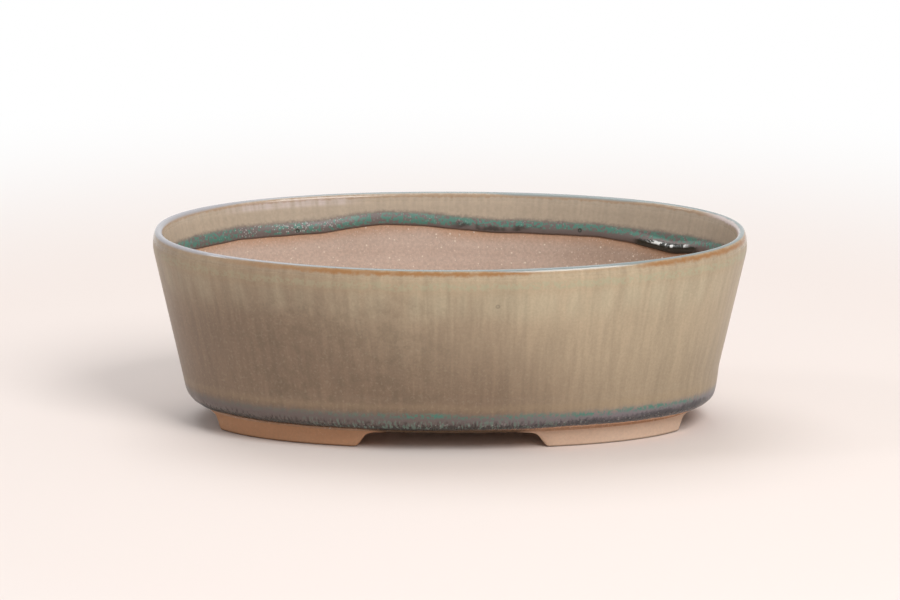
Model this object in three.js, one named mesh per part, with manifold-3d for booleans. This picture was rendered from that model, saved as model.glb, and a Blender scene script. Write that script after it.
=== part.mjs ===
// Oval bonsai pot of hand-built stoneware: a leaning wall luted to a floor slab, four cut feet, a coil worked into
// the inside corner, and a fired glaze that runs over the lip and gathers in a thick roll above the feet.
// Millimetres, +Z up. The origin is the middle of the footprint, on the surface that the feet stand on.
// +X runs along the length, and the front looks along -Y.
import * as THREE from 'three';
import { mergeVertices } from 'three/addons/utils/BufferGeometryUtils.js';
import Module from 'manifold-3d';

const wasm = await Module();
wasm.setup();

// The whole pot, over the glaze
const potLength = 240;
const potWidth = 140;
const potHeight = 79;
const ovalPower = 2.15; // 2 is a true ellipse, and more is fuller at the shoulders
const ovalSteps = 64; // facets round the oval

// Wall and lip
const wallLean = 12.7; // degrees outwards from upright
const wallThickness = 5.5; // clay, where the wall meets the floor
const lipThickness = 4; // over the glaze
const lipRise = 5.5; // height of the lip's outer round, where the wall turns upright, over the glaze
const kneeRise = 1.5; // how far above the floor's upper face the wall starts to turn under
const undercutRise = 1.5; // how far the turned-under face climbs before it sweeps up into the wall

// Floor slab and its holes
const floorThickness = 6.5;
const bareStrip = 1; // unglazed edge of the floor above the feet
const drainDiameter = 22;
const drainSpacing = 84;
const wireHoleDiameter = 6.5;
const wireHolesAlong = 126;
const wireHolesAcross = 30;

// Coil in the inside corner
const coilSize = 5;

// Feet and the windows between them
const footHeight = 6.9;
const footInset = 20.5; // from the rim's outline in to the top of a foot
const footTaper = 0.6; // how far the outer face leans in from top to sole
const footWidth = 12; // at the top
const soleWidth = 10;
const soleRounding = 0.9;
const sideWindowTop = 67.1;
const sideWindowBottom = 75.4;
const endWindowTop = 32.5;
const endWindowBottom = 37.4;
const windowCorner = 3; // rounding of a window's upper corners
const windowCrown = 0.3; // how far that rounding would run on past the floor's lower face

// Glaze
const glazeThickness = 0.5;
const glazeRoll = 1.1; // what the roll above the feet adds to the coat
const rollHeight = 9; // how far above the knee the roll starts to swell
const glazeBand = 14.1; // how far the coat reaches down inside the lip
const bandBead = 0.5; // what the bead along its inner edge adds to the coat
const beadHeight = 5;
// Where that edge sags, or is drawn up: the place and the spread are in degrees round from +X
const bandSags = [
  { drop: 4, at: 38, spread: 12 },
  { drop: 0.9, at: 80, spread: 32 },
  { drop: -3, at: 101, spread: 12.5 },
  { drop: 1.3, at: 215, spread: 24 },
  { drop: -1, at: 290, spread: 20 },
];
const slipGap = 0.25; // fine line that parts each piece from the one it is luted or fired to

// Worked-out sizes
const halfLength = potLength / 2;
const endToSide = (potLength - potWidth) / 2;
const floorTop = footHeight + floorThickness;
const skin = slipGap + glazeThickness;
const lean = THREE.MathUtils.degToRad(wallLean);
const footRadius = halfLength - footInset;
const overrun = 1; // how far a cutter runs past what it cuts

// Sections are drawn at the +X end of the oval: x is the distance from the upright axis, and y is the height.
const section = (x, y) => new THREE.Vector2(x, y);
const heading = (angle) => section(Math.cos(angle), Math.sin(angle));
const along = (point, direction, distance) => point.clone().addScaledVector(direction, distance);

// The clay lip below the glaze: a tall round outside its crest, and a small one inside
const lipRadius = lipThickness / 2 - skin;
const crest = section(halfLength - lipThickness / 2, potHeight - skin);
const lipCentre = section(crest.x, crest.y - lipRadius);
const outerRise = lipRise - skin;

// The point of the lip that faces a given way
function lipPoint(facing) {
  const rise = facing <= Math.PI / 2 ? outerRise : lipRadius;
  const across = lipRadius * Math.cos(facing);
  const up = rise * Math.sin(facing);
  const size = Math.hypot(across, up);
  return section(crest.x + lipRadius * across / size, crest.y - rise + rise * up / size);
}

// The wall's outer face: a straight line that leaves the lip at the wall's lean
const outerFacing = -lean;
const outerTop = lipPoint(outerFacing);
const outerFaceAt = (height) => section(outerTop.x - (outerTop.y - height) * Math.tan(lean), height);

// The wall's inner face: from the inside corner on the floor to where it touches the lip's inner round
const insideCorner = section(outerFaceAt(floorTop).x - wallThickness / Math.cos(lean), floorTop);
const cornerToLip = lipCentre.clone().sub(insideCorner);
const innerSlope = cornerToLip.angle() + Math.asin(lipRadius / cornerToLip.length());
const innerFacing = innerSlope + Math.PI / 2;
const innerTop = along(lipCentre, heading(innerFacing), lipRadius);

// The knee: from the outer face, round and under to the shoulder above the feet
const knee = outerFaceAt(floorTop + kneeRise);
const shoulder = section(footRadius, footHeight + bareStrip + skin);
const kneeCurve = new THREE.QuadraticBezierCurve(knee, outerFaceAt(shoulder.y + undercutRise), shoulder);
const kneeSteps = 6;
const kneePoints = kneeCurve.getPoints(kneeSteps);

// The luted joint between wall and floor: a mitre from the middle of the knee to the inside corner
const mitreStep = kneeSteps / 2;
const mitreOuter = kneePoints[mitreStep];
const mitreRun = insideCorner.clone().sub(mitreOuter);
const mitreShift = section(-slipGap * mitreRun.length() / mitreRun.y, 0);

// The ways that the lip faces, from the wall's outer face over its outermost point and its crest to the inner face
function lipFacings() {
  const outerSteps = 4;
  const innerSteps = 3;
  const facings = [outerFacing];
  for (let step = 0; step <= outerSteps; step += 1) {
    const turn = (Math.PI / 2) * (step / outerSteps);
    facings.push(Math.atan2(Math.sin(turn) / outerRise, Math.cos(turn) / lipRadius));
  }
  for (let step = 1; step <= innerSteps; step += 1) {
    facings.push(THREE.MathUtils.lerp(Math.PI / 2, innerFacing, step / innerSteps));
  }
  return facings;
}

// Turns a closed section about the upright axis and presses the round into the pot's oval, so that every ring of it
// keeps its own distance in from the rim all the way round. A section runs up its outer side and down its inner one.
// The reshape function may move a point of the section by its place in the list and the angle round the oval.
function ovalTurned(points, reshape = (point) => point) {
  const geometry = new THREE.LatheGeometry(points, ovalSteps);
  const place = geometry.getAttribute('position');
  const press = (value) => Math.sign(value) * Math.abs(value) ** (2 / ovalPower);
  for (let step = 0; step <= ovalSteps; step += 1) {
    const angle = 2 * Math.PI * ((step % ovalSteps) / ovalSteps);
    points.forEach((point, order) => {
      const moved = reshape(point, order, angle);
      const halfWidth = Math.max(0, moved.x - endToSide);
      const x = moved.x * press(Math.cos(angle));
      const y = halfWidth * press(Math.sin(angle));
      place.setXYZ(step * points.length + order, x, y, moved.y);
    });
  }
  return geometry;
}

// A closed geometry as a solid that can be cut: vertices that coincide are merged, and slivers at the axis dropped.
function solidFrom(geometry) {
  const bare = geometry.clone();
  bare.deleteAttribute('normal');
  bare.deleteAttribute('uv');
  const merged = mergeVertices(bare);
  const corners = merged.index.array;
  const kept = [];
  for (let first = 0; first < corners.length; first += 3) {
    const [a, b, c] = corners.subarray(first, first + 3);
    if (a !== b && b !== c && c !== a) kept.push(a, b, c);
  }
  const vertProperties = merged.getAttribute('position').array;
  return new wasm.Manifold(new wasm.Mesh({ numProp: 3, vertProperties, triVerts: new Uint32Array(kept) }));
}

function meshFrom(solid, name, material) {
  const { vertProperties, triVerts } = solid.getMesh();
  const geometry = new THREE.BufferGeometry();
  geometry.setAttribute('position', new THREE.BufferAttribute(vertProperties, 3));
  geometry.setIndex(new THREE.BufferAttribute(triVerts, 1));
  geometry.computeVertexNormals();
  const mesh = new THREE.Mesh(geometry, material);
  mesh.name = name;
  return mesh;
}

const closed = (points) => [...points, points[0]];

// The wall: up the knee and the outer face, over the lip, down the inner face and back along the mitre
function wallSolid() {
  const knees = kneePoints.slice(0, mitreStep + 1).reverse();
  const lip = lipFacings().map(lipPoint);
  return solidFrom(ovalTurned(closed([...knees, ...lip, insideCorner])));
}

// An upright round hole through the floor
function floorHole(diameter, x, y) {
  const radius = diameter / 2;
  const sides = 24;
  const hole = new THREE.CylinderGeometry(radius, radius, floorThickness + 2 * overrun, sides);
  hole.rotateX(Math.PI / 2);
  hole.translate(x, y, footHeight + floorThickness / 2);
  return solidFrom(hole);
}

// The floor slab: its bare edge, the lower half of the knee, the mitre, and the holes
function floorSolid() {
  const knees = kneePoints.slice(mitreStep + 1).reverse();
  const edge = [section(footRadius, footHeight), ...knees];
  const mitre = [mitreOuter, insideCorner].map((point) => point.clone().add(mitreShift));
  let slab = solidFrom(ovalTurned([section(0, footHeight), ...edge, ...mitre, section(0, floorTop)]));
  for (const endwise of [-1, 1]) {
    slab = slab.subtract(floorHole(drainDiameter, endwise * drainSpacing / 2, 0));
    for (const sidewise of [-1, 1]) {
      const x = endwise * wireHolesAlong / 2;
      const y = sidewise * wireHolesAcross / 2;
      slab = slab.subtract(floorHole(wireHoleDiameter, x, y));
    }
  }
  return slab;
}

// The coil: a fillet with a hollow face, along the wall and the floor
function coilSolid() {
  const corner = section(insideCorner.x - slipGap / Math.sin(innerSlope), floorTop);
  corner.add(heading(innerSlope).multiplyScalar(slipGap / Math.sin(innerSlope)));
  const upWall = along(corner, heading(innerSlope), coilSize);
  const onFloor = section(corner.x - coilSize, corner.y);
  const hollow = upWall.clone().add(onFloor).add(corner).divideScalar(3);
  const face = new THREE.QuadraticBezierCurve(upWall, hollow, onFloor).getPoints(4);
  return solidFrom(ovalTurned([onFloor, corner, ...face]));
}

// The outline of a foot window, drawn upright: flared sides and rounded upper corners
function windowOutline(topWidth, bottomWidth) {
  const halfWidthAt = (height) => THREE.MathUtils.mapLinear(height, 0, footHeight, bottomWidth, topWidth) / 2;
  const crown = footHeight + windowCrown;
  const spring = crown - windowCorner;
  const flat = halfWidthAt(crown) - windowCorner;
  const outline = new THREE.Shape();
  outline.moveTo(-halfWidthAt(-overrun), -overrun);
  outline.lineTo(halfWidthAt(-overrun), -overrun);
  outline.lineTo(halfWidthAt(spring), spring);
  outline.quadraticCurveTo(halfWidthAt(crown), crown, flat, crown);
  outline.lineTo(-flat, crown);
  outline.quadraticCurveTo(-halfWidthAt(crown), crown, -halfWidthAt(spring), spring);
  return outline;
}

// A cutter that runs right through the ring of feet, from front to back or, turned, from end to end
function windowCutter(topWidth, bottomWidth, turn) {
  const depth = potLength;
  const outline = windowOutline(topWidth, bottomWidth);
  const cutter = new THREE.ExtrudeGeometry(outline, { depth, bevelEnabled: false, curveSegments: 5 });
  cutter.translate(0, 0, -depth / 2);
  cutter.rotateX(Math.PI / 2);
  cutter.rotateZ(turn);
  return solidFrom(cutter);
}

// The ring that the feet are cut from: a flat sole with a rounded outer edge, and an outer face that leans in
function footRing() {
  const soleOuter = footRadius - footTaper;
  const rounding = new THREE.QuadraticBezierCurve(
    section(soleOuter - soleRounding, 0),
    section(soleOuter, 0),
    section(soleOuter, soleRounding),
  );
  const inner = [section(footRadius - footWidth, footHeight), section(soleOuter - soleWidth, 0)];
  const outline = [...rounding.getPoints(2), section(footRadius, footHeight), ...inner];
  const ring = solidFrom(ovalTurned(closed(outline)));
  const cutRing = ring.subtract(windowCutter(sideWindowTop, sideWindowBottom, 0));
  return cutRing.subtract(windowCutter(endWindowTop, endWindowBottom, Math.PI / 2));
}

// One foot: the quarter of the cut ring on the given end and side
function footSolid(ring, endwise, sidewise) {
  const quarter = new THREE.BoxGeometry(halfLength, halfLength, 2 * footHeight);
  quarter.translate(endwise * halfLength / 2, sidewise * halfLength / 2, footHeight / 2);
  return ring.intersect(solidFrom(quarter));
}

// How far the glaze's inner edge hangs below its even line, by the angle round the oval
function bandDrop(angle) {
  const dropOf = ({ drop, at, spread }) => {
    const turn = angle - THREE.MathUtils.degToRad(at);
    const away = Math.atan2(Math.sin(turn), Math.cos(turn)) / THREE.MathUtils.degToRad(spread);
    return drop * Math.exp(-(away ** 2));
  };
  return bandSags.reduce((sum, sag) => sum + dropOf(sag), 0);
}

// Stations of the glaze along the clay, from the shoulder up, over the lip and down to the edge of the band.
// Each has its place on the clay, the way the clay faces there, and the coat's thickness.
function glazeStations() {
  const stations = [];
  const coatWith = (extra, share) => glazeThickness + extra * Math.sin(Math.PI * share);
  const rollTop = outerFaceAt(knee.y + rollHeight);
  const faceSteps = 3;
  const rollSteps = kneeSteps + faceSteps;
  for (let step = kneeSteps; step > 0; step -= 1) {
    const tangent = kneeCurve.getTangent(step / kneeSteps);
    const coat = coatWith(glazeRoll, (kneeSteps - step) / rollSteps);
    stations.push({ clay: kneePoints[step], facing: tangent.angle() + Math.PI / 2, coat });
  }
  for (let step = 0; step <= faceSteps; step += 1) {
    const clay = knee.clone().lerp(rollTop, step / faceSteps);
    stations.push({ clay, facing: outerFacing, coat: coatWith(glazeRoll, (kneeSteps + step) / rollSteps) });
  }
  for (const facing of lipFacings()) {
    stations.push({ clay: lipPoint(facing), facing, coat: glazeThickness });
  }
  const beadSteps = 4;
  for (let step = 0; step <= beadSteps; step += 1) {
    const share = step / beadSteps;
    const depth = glazeBand - beadHeight * (1 - share);
    const clay = along(innerTop, heading(innerSlope), -depth);
    stations.push({ clay, facing: innerFacing, coat: coatWith(bandBead, share), hangs: true });
  }
  return stations;
}

// The glaze: the outer side of the coat one way, and back along the clay. Its inner edge hangs in sags.
function glazeSolid() {
  const stations = glazeStations();
  const outside = stations.map(({ clay, facing, coat }) => along(clay, heading(facing), slipGap + coat));
  const inside = stations.map(({ clay, facing }) => along(clay, heading(facing), slipGap)).reverse();
  const hangs = stations.map((station) => Boolean(station.hangs));
  const hanging = [...hangs, ...hangs.slice().reverse(), hangs[0]];
  const reshape = (point, order, angle) =>
    hanging[order] ? along(point, heading(innerSlope), -bandDrop(angle)) : point;
  return solidFrom(ovalTurned(closed([...outside, ...inside]), reshape));
}

const clay = new THREE.MeshStandardMaterial({ color: 0xa8825f, roughness: 0.92, metalness: 0 });
const floorClay = new THREE.MeshStandardMaterial({ color: 0xb29a86, roughness: 0.95, metalness: 0 });
const glaze = new THREE.MeshStandardMaterial({ color: 0xa08a6b, roughness: 0.35, metalness: 0 });

const pot = new THREE.Group();
pot.add(meshFrom(wallSolid(), 'wall', floorClay));
pot.add(meshFrom(floorSolid(), 'floor_slab', floorClay));
pot.add(meshFrom(coilSolid(), 'seam_coil', floorClay));
const feet = footRing();
for (const [sideName, sidewise] of [['front', -1], ['back', 1]]) {
  for (const [endName, endwise] of [['left', -1], ['right', 1]]) {
    pot.add(meshFrom(footSolid(feet, endwise, sidewise), `foot_${sideName}_${endName}`, clay));
  }
}
pot.add(meshFrom(glazeSolid(), 'glaze_coat', glaze));

export default pot;
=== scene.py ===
"""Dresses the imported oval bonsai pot: fired clay, cut feet and a running glaze, in plain studio light.

Every piece is a surface worked out with numpy, in metres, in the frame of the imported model. +X runs along
the length, the front looks along -Y, and the feet stand on z = 0.
"""

import logging
import math
from collections.abc import Sequence
from dataclasses import asdict, dataclass
from enum import Enum

import bpy
import numpy as np
from mathutils import Matrix, Vector


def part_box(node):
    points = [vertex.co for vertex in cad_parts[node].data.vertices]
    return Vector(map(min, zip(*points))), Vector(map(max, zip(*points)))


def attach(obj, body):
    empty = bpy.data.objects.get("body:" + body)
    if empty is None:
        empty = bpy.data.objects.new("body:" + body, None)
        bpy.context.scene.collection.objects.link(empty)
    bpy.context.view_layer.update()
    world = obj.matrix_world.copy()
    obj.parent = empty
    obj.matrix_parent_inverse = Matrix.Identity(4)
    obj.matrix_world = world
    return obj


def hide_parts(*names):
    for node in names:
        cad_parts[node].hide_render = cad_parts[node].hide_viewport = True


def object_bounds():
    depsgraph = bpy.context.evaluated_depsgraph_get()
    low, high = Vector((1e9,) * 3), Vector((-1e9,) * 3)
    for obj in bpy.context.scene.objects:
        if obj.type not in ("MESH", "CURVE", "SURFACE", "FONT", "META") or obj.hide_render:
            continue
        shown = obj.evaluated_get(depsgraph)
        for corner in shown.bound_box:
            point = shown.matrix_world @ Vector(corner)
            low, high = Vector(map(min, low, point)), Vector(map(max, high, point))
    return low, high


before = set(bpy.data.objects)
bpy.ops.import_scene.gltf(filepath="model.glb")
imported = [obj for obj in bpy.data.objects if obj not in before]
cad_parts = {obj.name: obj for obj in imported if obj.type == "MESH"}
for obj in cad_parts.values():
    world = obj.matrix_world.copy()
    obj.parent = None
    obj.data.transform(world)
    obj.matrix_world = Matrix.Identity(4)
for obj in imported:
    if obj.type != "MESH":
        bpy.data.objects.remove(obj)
cad_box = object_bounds()

LOG = logging.getLogger("bonsai_pot")
MM = 0.001
PER_MM = 1000.0
BODY = "root"

# The curve between a screen's values and linear light
SCREEN_FULL = 255.0
SCREEN_KNEE = 0.04045
SCREEN_SLOPE = 12.92
SCREEN_SHIFT = 0.055
SCREEN_POWER = 2.4

# Sockets of a Mix node that carry colours
MIX_FIRST = 6
MIX_SECOND = 7
MIX_RESULT = 2

# A colour, what a socket takes, and what the sockets of a node take
Tone = tuple[float, ...]
Feed = "Value | float | Sequence[float]"
Feeds = dict[str | int, Feed]


class Slot(Enum):
    """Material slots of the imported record."""

    BARE_CLAY = "bare_clay"
    FOOT_CLAY = "foot_clay"
    GLAZE = "glaze"


class FootPlace(Enum):
    """The four feet, by the end they stand at (+1 is +X) and the side (+1 is +Y)."""

    FRONT_LEFT = (-1, -1)
    FRONT_RIGHT = (1, -1)
    BACK_LEFT = (-1, 1)
    BACK_RIGHT = (1, 1)

    @property
    def node(self) -> str:
        """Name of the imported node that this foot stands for."""
        return f"foot_{self.name.lower()}"


class Blend(Enum):
    """Sums that a Math node can do."""

    ADD = "ADD"
    SUBTRACT = "SUBTRACT"
    MULTIPLY = "MULTIPLY"
    DIVIDE = "DIVIDE"
    LESS = "LESS_THAN"
    GREATER = "GREATER_THAN"
    SIZE = "ABSOLUTE"
    MOST = "MAXIMUM"


# Small tools for sections and grids


def tone(red: int, green: int, blue: int) -> Tone:
    """A colour as a screen shows it (0 to 255), turned into the linear colour that shaders use.

    Up to the knee, the screen's value is divided by a slope; above it, the value plus a shift, over 1 plus
    the shift, is raised to a power.

    Args:
        red: red part.
        green: green part.
        blue: blue part.

    Returns:
        Linear red, green, blue and a full alpha.
    """
    shown = np.array([red, green, blue]) / SCREEN_FULL
    bright = ((shown + SCREEN_SHIFT) / (1 + SCREEN_SHIFT)) ** SCREEN_POWER
    linear = np.where(shown <= SCREEN_KNEE, shown / SCREEN_SLOPE, bright)
    return (*(float(part) for part in linear), 1.0)


def heading(angle: np.ndarray | float) -> np.ndarray:
    """Unit vectors (cosine, sine) of the given angles, along a new last axis."""
    return np.stack([np.cos(angle), np.sin(angle)], axis=-1)


def quadratic(start: np.ndarray, control: np.ndarray, end: np.ndarray, share: np.ndarray) -> np.ndarray:
    """Points of a quadratic curve: (1 - t)^2 of the start, 2 t (1 - t) of the control and t^2 of the end.

    Args:
        start: first point, or a column of first points for as many curves.
        control: point that the curve leans to, or a column of them.
        end: last point, or a column of them.
        share: values of t, from 0 to 1.

    Returns:
        One point for each share, on each curve.
    """
    t = np.asarray(share)[:, None]
    return (1 - t) ** 2 * start + 2 * t * (1 - t) * control + t**2 * end


def quadratic_facing(
    start: np.ndarray, control: np.ndarray, end: np.ndarray, share: np.ndarray
) -> np.ndarray:
    """Angles a quarter turn round from the direction of a quadratic curve, 2 (1 - t) (c - s) + 2 t (e - c).

    Args:
        start: first point.
        control: point that the curve leans to.
        end: last point.
        share: values of t, from 0 to 1.

    Returns:
        The angle that each point of the curve faces.
    """
    t = np.asarray(share)[:, None]
    run = 2 * (1 - t) * (control - start) + 2 * t * (end - control)
    return np.arctan2(run[:, 1], run[:, 0]) + math.pi / 2


def soft_step(value: np.ndarray, low: float, high: float) -> np.ndarray:
    """Climbs from 0 at low to 1 at high as 3 t^2 - 2 t^3."""
    t = np.clip((value - low) / (high - low), 0.0, 1.0)
    return t * t * (3 - 2 * t)


@dataclass(frozen=True)
class Wave:
    """A swell that comes round the oval a whole number of times."""

    lobes: int
    height: float
    peak: float

    def at(self, angle: np.ndarray) -> np.ndarray:
        """Height times the cosine of lobes times (angle - peak), the peak in degrees."""
        return self.height * np.cos(self.lobes * (angle - math.radians(self.peak)))


def swell(waves: Sequence[Wave], angle: np.ndarray) -> np.ndarray:
    """Sum of several waves at the given angles."""
    return sum(wave.at(angle) for wave in waves)


def turn_angles(count: int) -> np.ndarray:
    """Evenly spaced angles of one full turn, without the closing one."""
    return np.linspace(0.0, 2 * math.pi, count, endpoint=False)


def numbered(rows: int, columns: int) -> np.ndarray:
    """Vertex numbers of a grid, row by row."""
    return np.arange(rows * columns).reshape(rows, columns)


def quads(index: np.ndarray, close_rows: bool, close_columns: bool) -> np.ndarray:
    """Four-sided faces between the neighbours of a grid of vertex numbers.

    Args:
        index: vertex numbers, rows by columns.
        close_rows: whether the last row joins the first.
        close_columns: whether the last column joins the first.

    Returns:
        Faces that look along (next row) x (next column).
    """
    if close_rows:
        index = np.concatenate([index, index[:1]], axis=0)
    if close_columns:
        index = np.concatenate([index, index[:, :1]], axis=1)
    corners = [index[:-1, :-1], index[1:, :-1], index[1:, 1:], index[:-1, 1:]]
    return np.stack(corners, axis=-1).reshape(-1, 4)


def fan(loop: np.ndarray, hub: int) -> np.ndarray:
    """Triangles from each edge of a closed loop of vertex numbers to the hub."""
    return np.stack([loop, np.roll(loop, -1), np.full_like(loop, hub)], axis=-1)


def capped(index: np.ndarray) -> list[np.ndarray]:
    """Faces of a grid that is closed along its rows and capped at both ends of its columns.

    Args:
        index: vertex numbers, rows by columns. The two hubs of the caps are the next two numbers.

    Returns:
        Blocks of faces.
    """
    low, high = index.size, index.size + 1
    return [quads(index, True, False), fan(index[::-1, 0], low), fan(index[:, -1], high)]


def new_piece(name: str, points: np.ndarray, faces: Sequence[np.ndarray]) -> bpy.types.Object:
    """Puts points and faces into a smooth mesh object at the origin.

    Args:
        name: name of the piece.
        points: vertex places, in metres.
        faces: blocks of faces, each an array of vertex numbers.

    Returns:
        The new object, linked into the scene.
    """
    mesh = bpy.data.meshes.new(name)
    corner_lists = [corners for block in faces for corners in block.tolist()]
    mesh.from_pydata(points.reshape(-1, 3).tolist(), [], corner_lists)
    mesh.polygons.foreach_set("use_smooth", np.ones(len(mesh.polygons), dtype=bool))
    mesh.validate()
    mesh.update()
    piece = bpy.data.objects.new(name, mesh)
    bpy.context.scene.collection.objects.link(piece)
    return piece


def store(piece: bpy.types.Object, name: str, values: np.ndarray) -> None:
    """Keeps a number, or a place, for each vertex as an attribute that the materials read.

    Args:
        piece: the piece.
        name: name of the attribute.
        values: one number for each vertex, or three along the last axis.
    """
    flat = np.ascontiguousarray(values, dtype=np.float32).ravel()
    is_place = flat.size == 3 * len(piece.data.vertices)
    attribute = piece.data.attributes.new(name, "FLOAT_VECTOR" if is_place else "FLOAT", "POINT")
    attribute.data.foreach_set("vector" if is_place else "value", flat)


def settle(piece: bpy.types.Object, node: str, material: bpy.types.Material) -> None:
    """Gives a piece its material and ties it to the node that it stands for.

    Args:
        piece: the finished piece.
        node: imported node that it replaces.
        material: what it is made of.
    """
    piece.data.materials.append(material)
    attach(piece, BODY)
    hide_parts(node)
    LOG.info("%s stands for %s: %d faces", piece.name, node, len(piece.data.polygons))


# The pot's plan and section


@dataclass(frozen=True)
class Sag:
    """A place on the way round where something drops, or rises where the drop is negative."""

    drop: float
    at: float
    spread: float

    def share(self, angle: np.ndarray) -> np.ndarray:
        """A bell round the place: e to the minus square of (turn away / spread), both in degrees."""
        turn = np.angle(np.exp(1j * (angle - math.radians(self.at))))
        return np.exp(-((turn / math.radians(self.spread)) ** 2))


def sagging(sags: Sequence[Sag], angle: np.ndarray) -> np.ndarray:
    """Sum of several sags at the given angles, each its drop times its share."""
    return sum(sag.drop * sag.share(angle) for sag in sags)


@dataclass(frozen=True)
class OvalPlan:
    """The oval that every ring of the pot follows, with the slight dips of a rim levelled by hand."""

    half_length: float
    half_width: float
    height: float
    power: float = 2.15
    dips: tuple[Sag, ...] = (Sag(0.65 * MM, 268, 26), Sag(0.2 * MM, 95, 40))

    def press(self, value: np.ndarray) -> np.ndarray:
        """Keeps the sign and raises the size to the power that makes the oval a little fuller."""
        return np.sign(value) * np.abs(value) ** (2 / self.power)

    def carry(self, section: np.ndarray, angle: np.ndarray) -> np.ndarray:
        """Carries section points round the oval, each ring at its own constant distance in from the rim.

        x is the reach times the pressed cosine. y is the reach less the difference of the half sizes, times
        the pressed sine. z is the height less the dips, which fade towards the foot as the height squared.

        Args:
            section: reach and height along the last axis.
            angle: angle round from +X for each of them.

        Returns:
            Points in metres, along a last axis of three.
        """
        reach = section[..., 0]
        sideways = np.maximum(0.0, reach - (self.half_length - self.half_width))
        x = reach * self.press(np.cos(angle))
        y = sideways * self.press(np.sin(angle))
        z = section[..., 1] - sagging(self.dips, angle) * (section[..., 1] / self.height) ** 2
        return np.stack([x, y, np.broadcast_to(z, x.shape)], axis=-1)


@dataclass(frozen=True)
class ClaySection:
    """The clay's section at the +X end: x is the reach from the upright axis, and y is the height."""

    half_length: float
    height: float
    foot_height: float
    floor_top: float
    wall_lean: float = math.radians(12.7)
    wall_thickness: float = 5.5 * MM
    lip_thickness: float = 4.0 * MM
    lip_rise: float = 5.5 * MM
    knee_rise: float = 1.5 * MM
    undercut_rise: float = 1.5 * MM
    bare_strip: float = 1.0 * MM
    foot_inset: float = 20.5 * MM
    skin: float = 0.75 * MM

    @classmethod
    def from_frame(cls) -> "ClaySection":
        """Takes the overall size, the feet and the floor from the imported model's boxes.

        Returns:
            The section.
        """
        low, high = cad_box
        foot_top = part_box(FootPlace.FRONT_LEFT.node)[1][2]
        floor_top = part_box("floor_slab")[1][2]
        return cls((high[0] - low[0]) / 2, high[2] - low[2], foot_top, floor_top)

    @property
    def foot_reach(self) -> float:
        """Reach of the feet at their top, and of the floor's bare edge."""
        return self.half_length - self.foot_inset

    @property
    def lip_radius(self) -> float:
        """Radius of the clay lip across its crest, below the glaze."""
        return self.lip_thickness / 2 - self.skin

    @property
    def crest(self) -> np.ndarray:
        """Top of the clay lip."""
        return np.array([self.half_length - self.lip_thickness / 2, self.height - self.skin])

    @property
    def lip_centre(self) -> np.ndarray:
        """Middle of the lip's small inner round."""
        return self.crest - np.array([0.0, self.lip_radius])

    def lip_points(self, facing: np.ndarray) -> np.ndarray:
        """Points of the clay lip that face the given ways.

        Outside the crest the lip is half an ellipse, as wide as the small round and as tall as the lip's
        rise; inside it is the small round. A point of an ellipse that faces an angle lies at its half axes
        squared times the cosine and sine, over the length of the half axes times the cosine and sine.

        Args:
            facing: angles that the lip faces, 0 outwards and a quarter turn upwards.

        Returns:
            The points.
        """
        facing = np.asarray(facing)
        rise = np.where(facing <= math.pi / 2, self.lip_rise - self.skin, self.lip_radius)
        across = self.lip_radius * np.cos(facing)
        up = rise * np.sin(facing)
        size = np.hypot(across, up)
        reach = self.crest[0] + self.lip_radius * across / size
        return np.stack([reach, self.crest[1] - rise + rise * up / size], axis=-1)

    def lip_facings(self, outer_count: int, inner_count: int) -> np.ndarray:
        """The ways that the lip faces, from the outer face over the crest to the inner face.

        Outside, they follow even turns of the ellipse; inside, they are even themselves.

        Args:
            outer_count: number of them up to the crest.
            inner_count: number of them after it.

        Returns:
            The angles.
        """
        rise = self.lip_rise - self.skin
        lean = -self.wall_lean
        first = math.atan2(rise * math.sin(lean), self.lip_radius * math.cos(lean))
        turn = np.linspace(first, math.pi / 2, outer_count)
        outer = np.arctan2(np.sin(turn) / rise, np.cos(turn) / self.lip_radius)
        inner = np.linspace(math.pi / 2, self.inner_facing, inner_count + 1)[1:]
        return np.concatenate([outer, inner])

    @property
    def outer_top(self) -> np.ndarray:
        """Where the wall's outer face leaves the lip."""
        return self.lip_points(-self.wall_lean)

    def outer_face(self, height: float) -> np.ndarray:
        """Point of the wall's straight outer face at a height."""
        drop = self.outer_top[1] - height
        return np.array([self.outer_top[0] - drop * math.tan(self.wall_lean), height])

    @property
    def inside_corner(self) -> np.ndarray:
        """Where the wall's inner face meets the floor."""
        reach = self.outer_face(self.floor_top)[0] - self.wall_thickness / math.cos(self.wall_lean)
        return np.array([reach, self.floor_top])

    @property
    def inner_slope(self) -> float:
        """Angle of the wall's inner face, which touches the round of the lip."""
        run = self.lip_centre - self.inside_corner
        return math.atan2(run[1], run[0]) + math.asin(self.lip_radius / float(np.hypot(*run)))

    @property
    def inner_facing(self) -> float:
        """The way that the wall's inner face looks."""
        return self.inner_slope + math.pi / 2

    @property
    def inner_top(self) -> np.ndarray:
        """Where the wall's inner face leaves the lip."""
        return self.lip_centre + self.lip_radius * heading(self.inner_facing)

    @property
    def knee(self) -> tuple[np.ndarray, np.ndarray, np.ndarray]:
        """The curve that turns the wall under, down to the shoulder above the feet.

        Returns:
            Its start, control and end.
        """
        shoulder = np.array([self.foot_reach, self.foot_height + self.bare_strip + self.skin])
        start = self.outer_face(self.floor_top + self.knee_rise)
        return start, self.outer_face(float(shoulder[1]) + self.undercut_rise), shoulder

    def inner_points(self, depth: np.ndarray) -> np.ndarray:
        """Points of the inner face, at depths below its top."""
        return self.inner_top - np.asarray(depth)[..., None] * heading(self.inner_slope)


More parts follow.
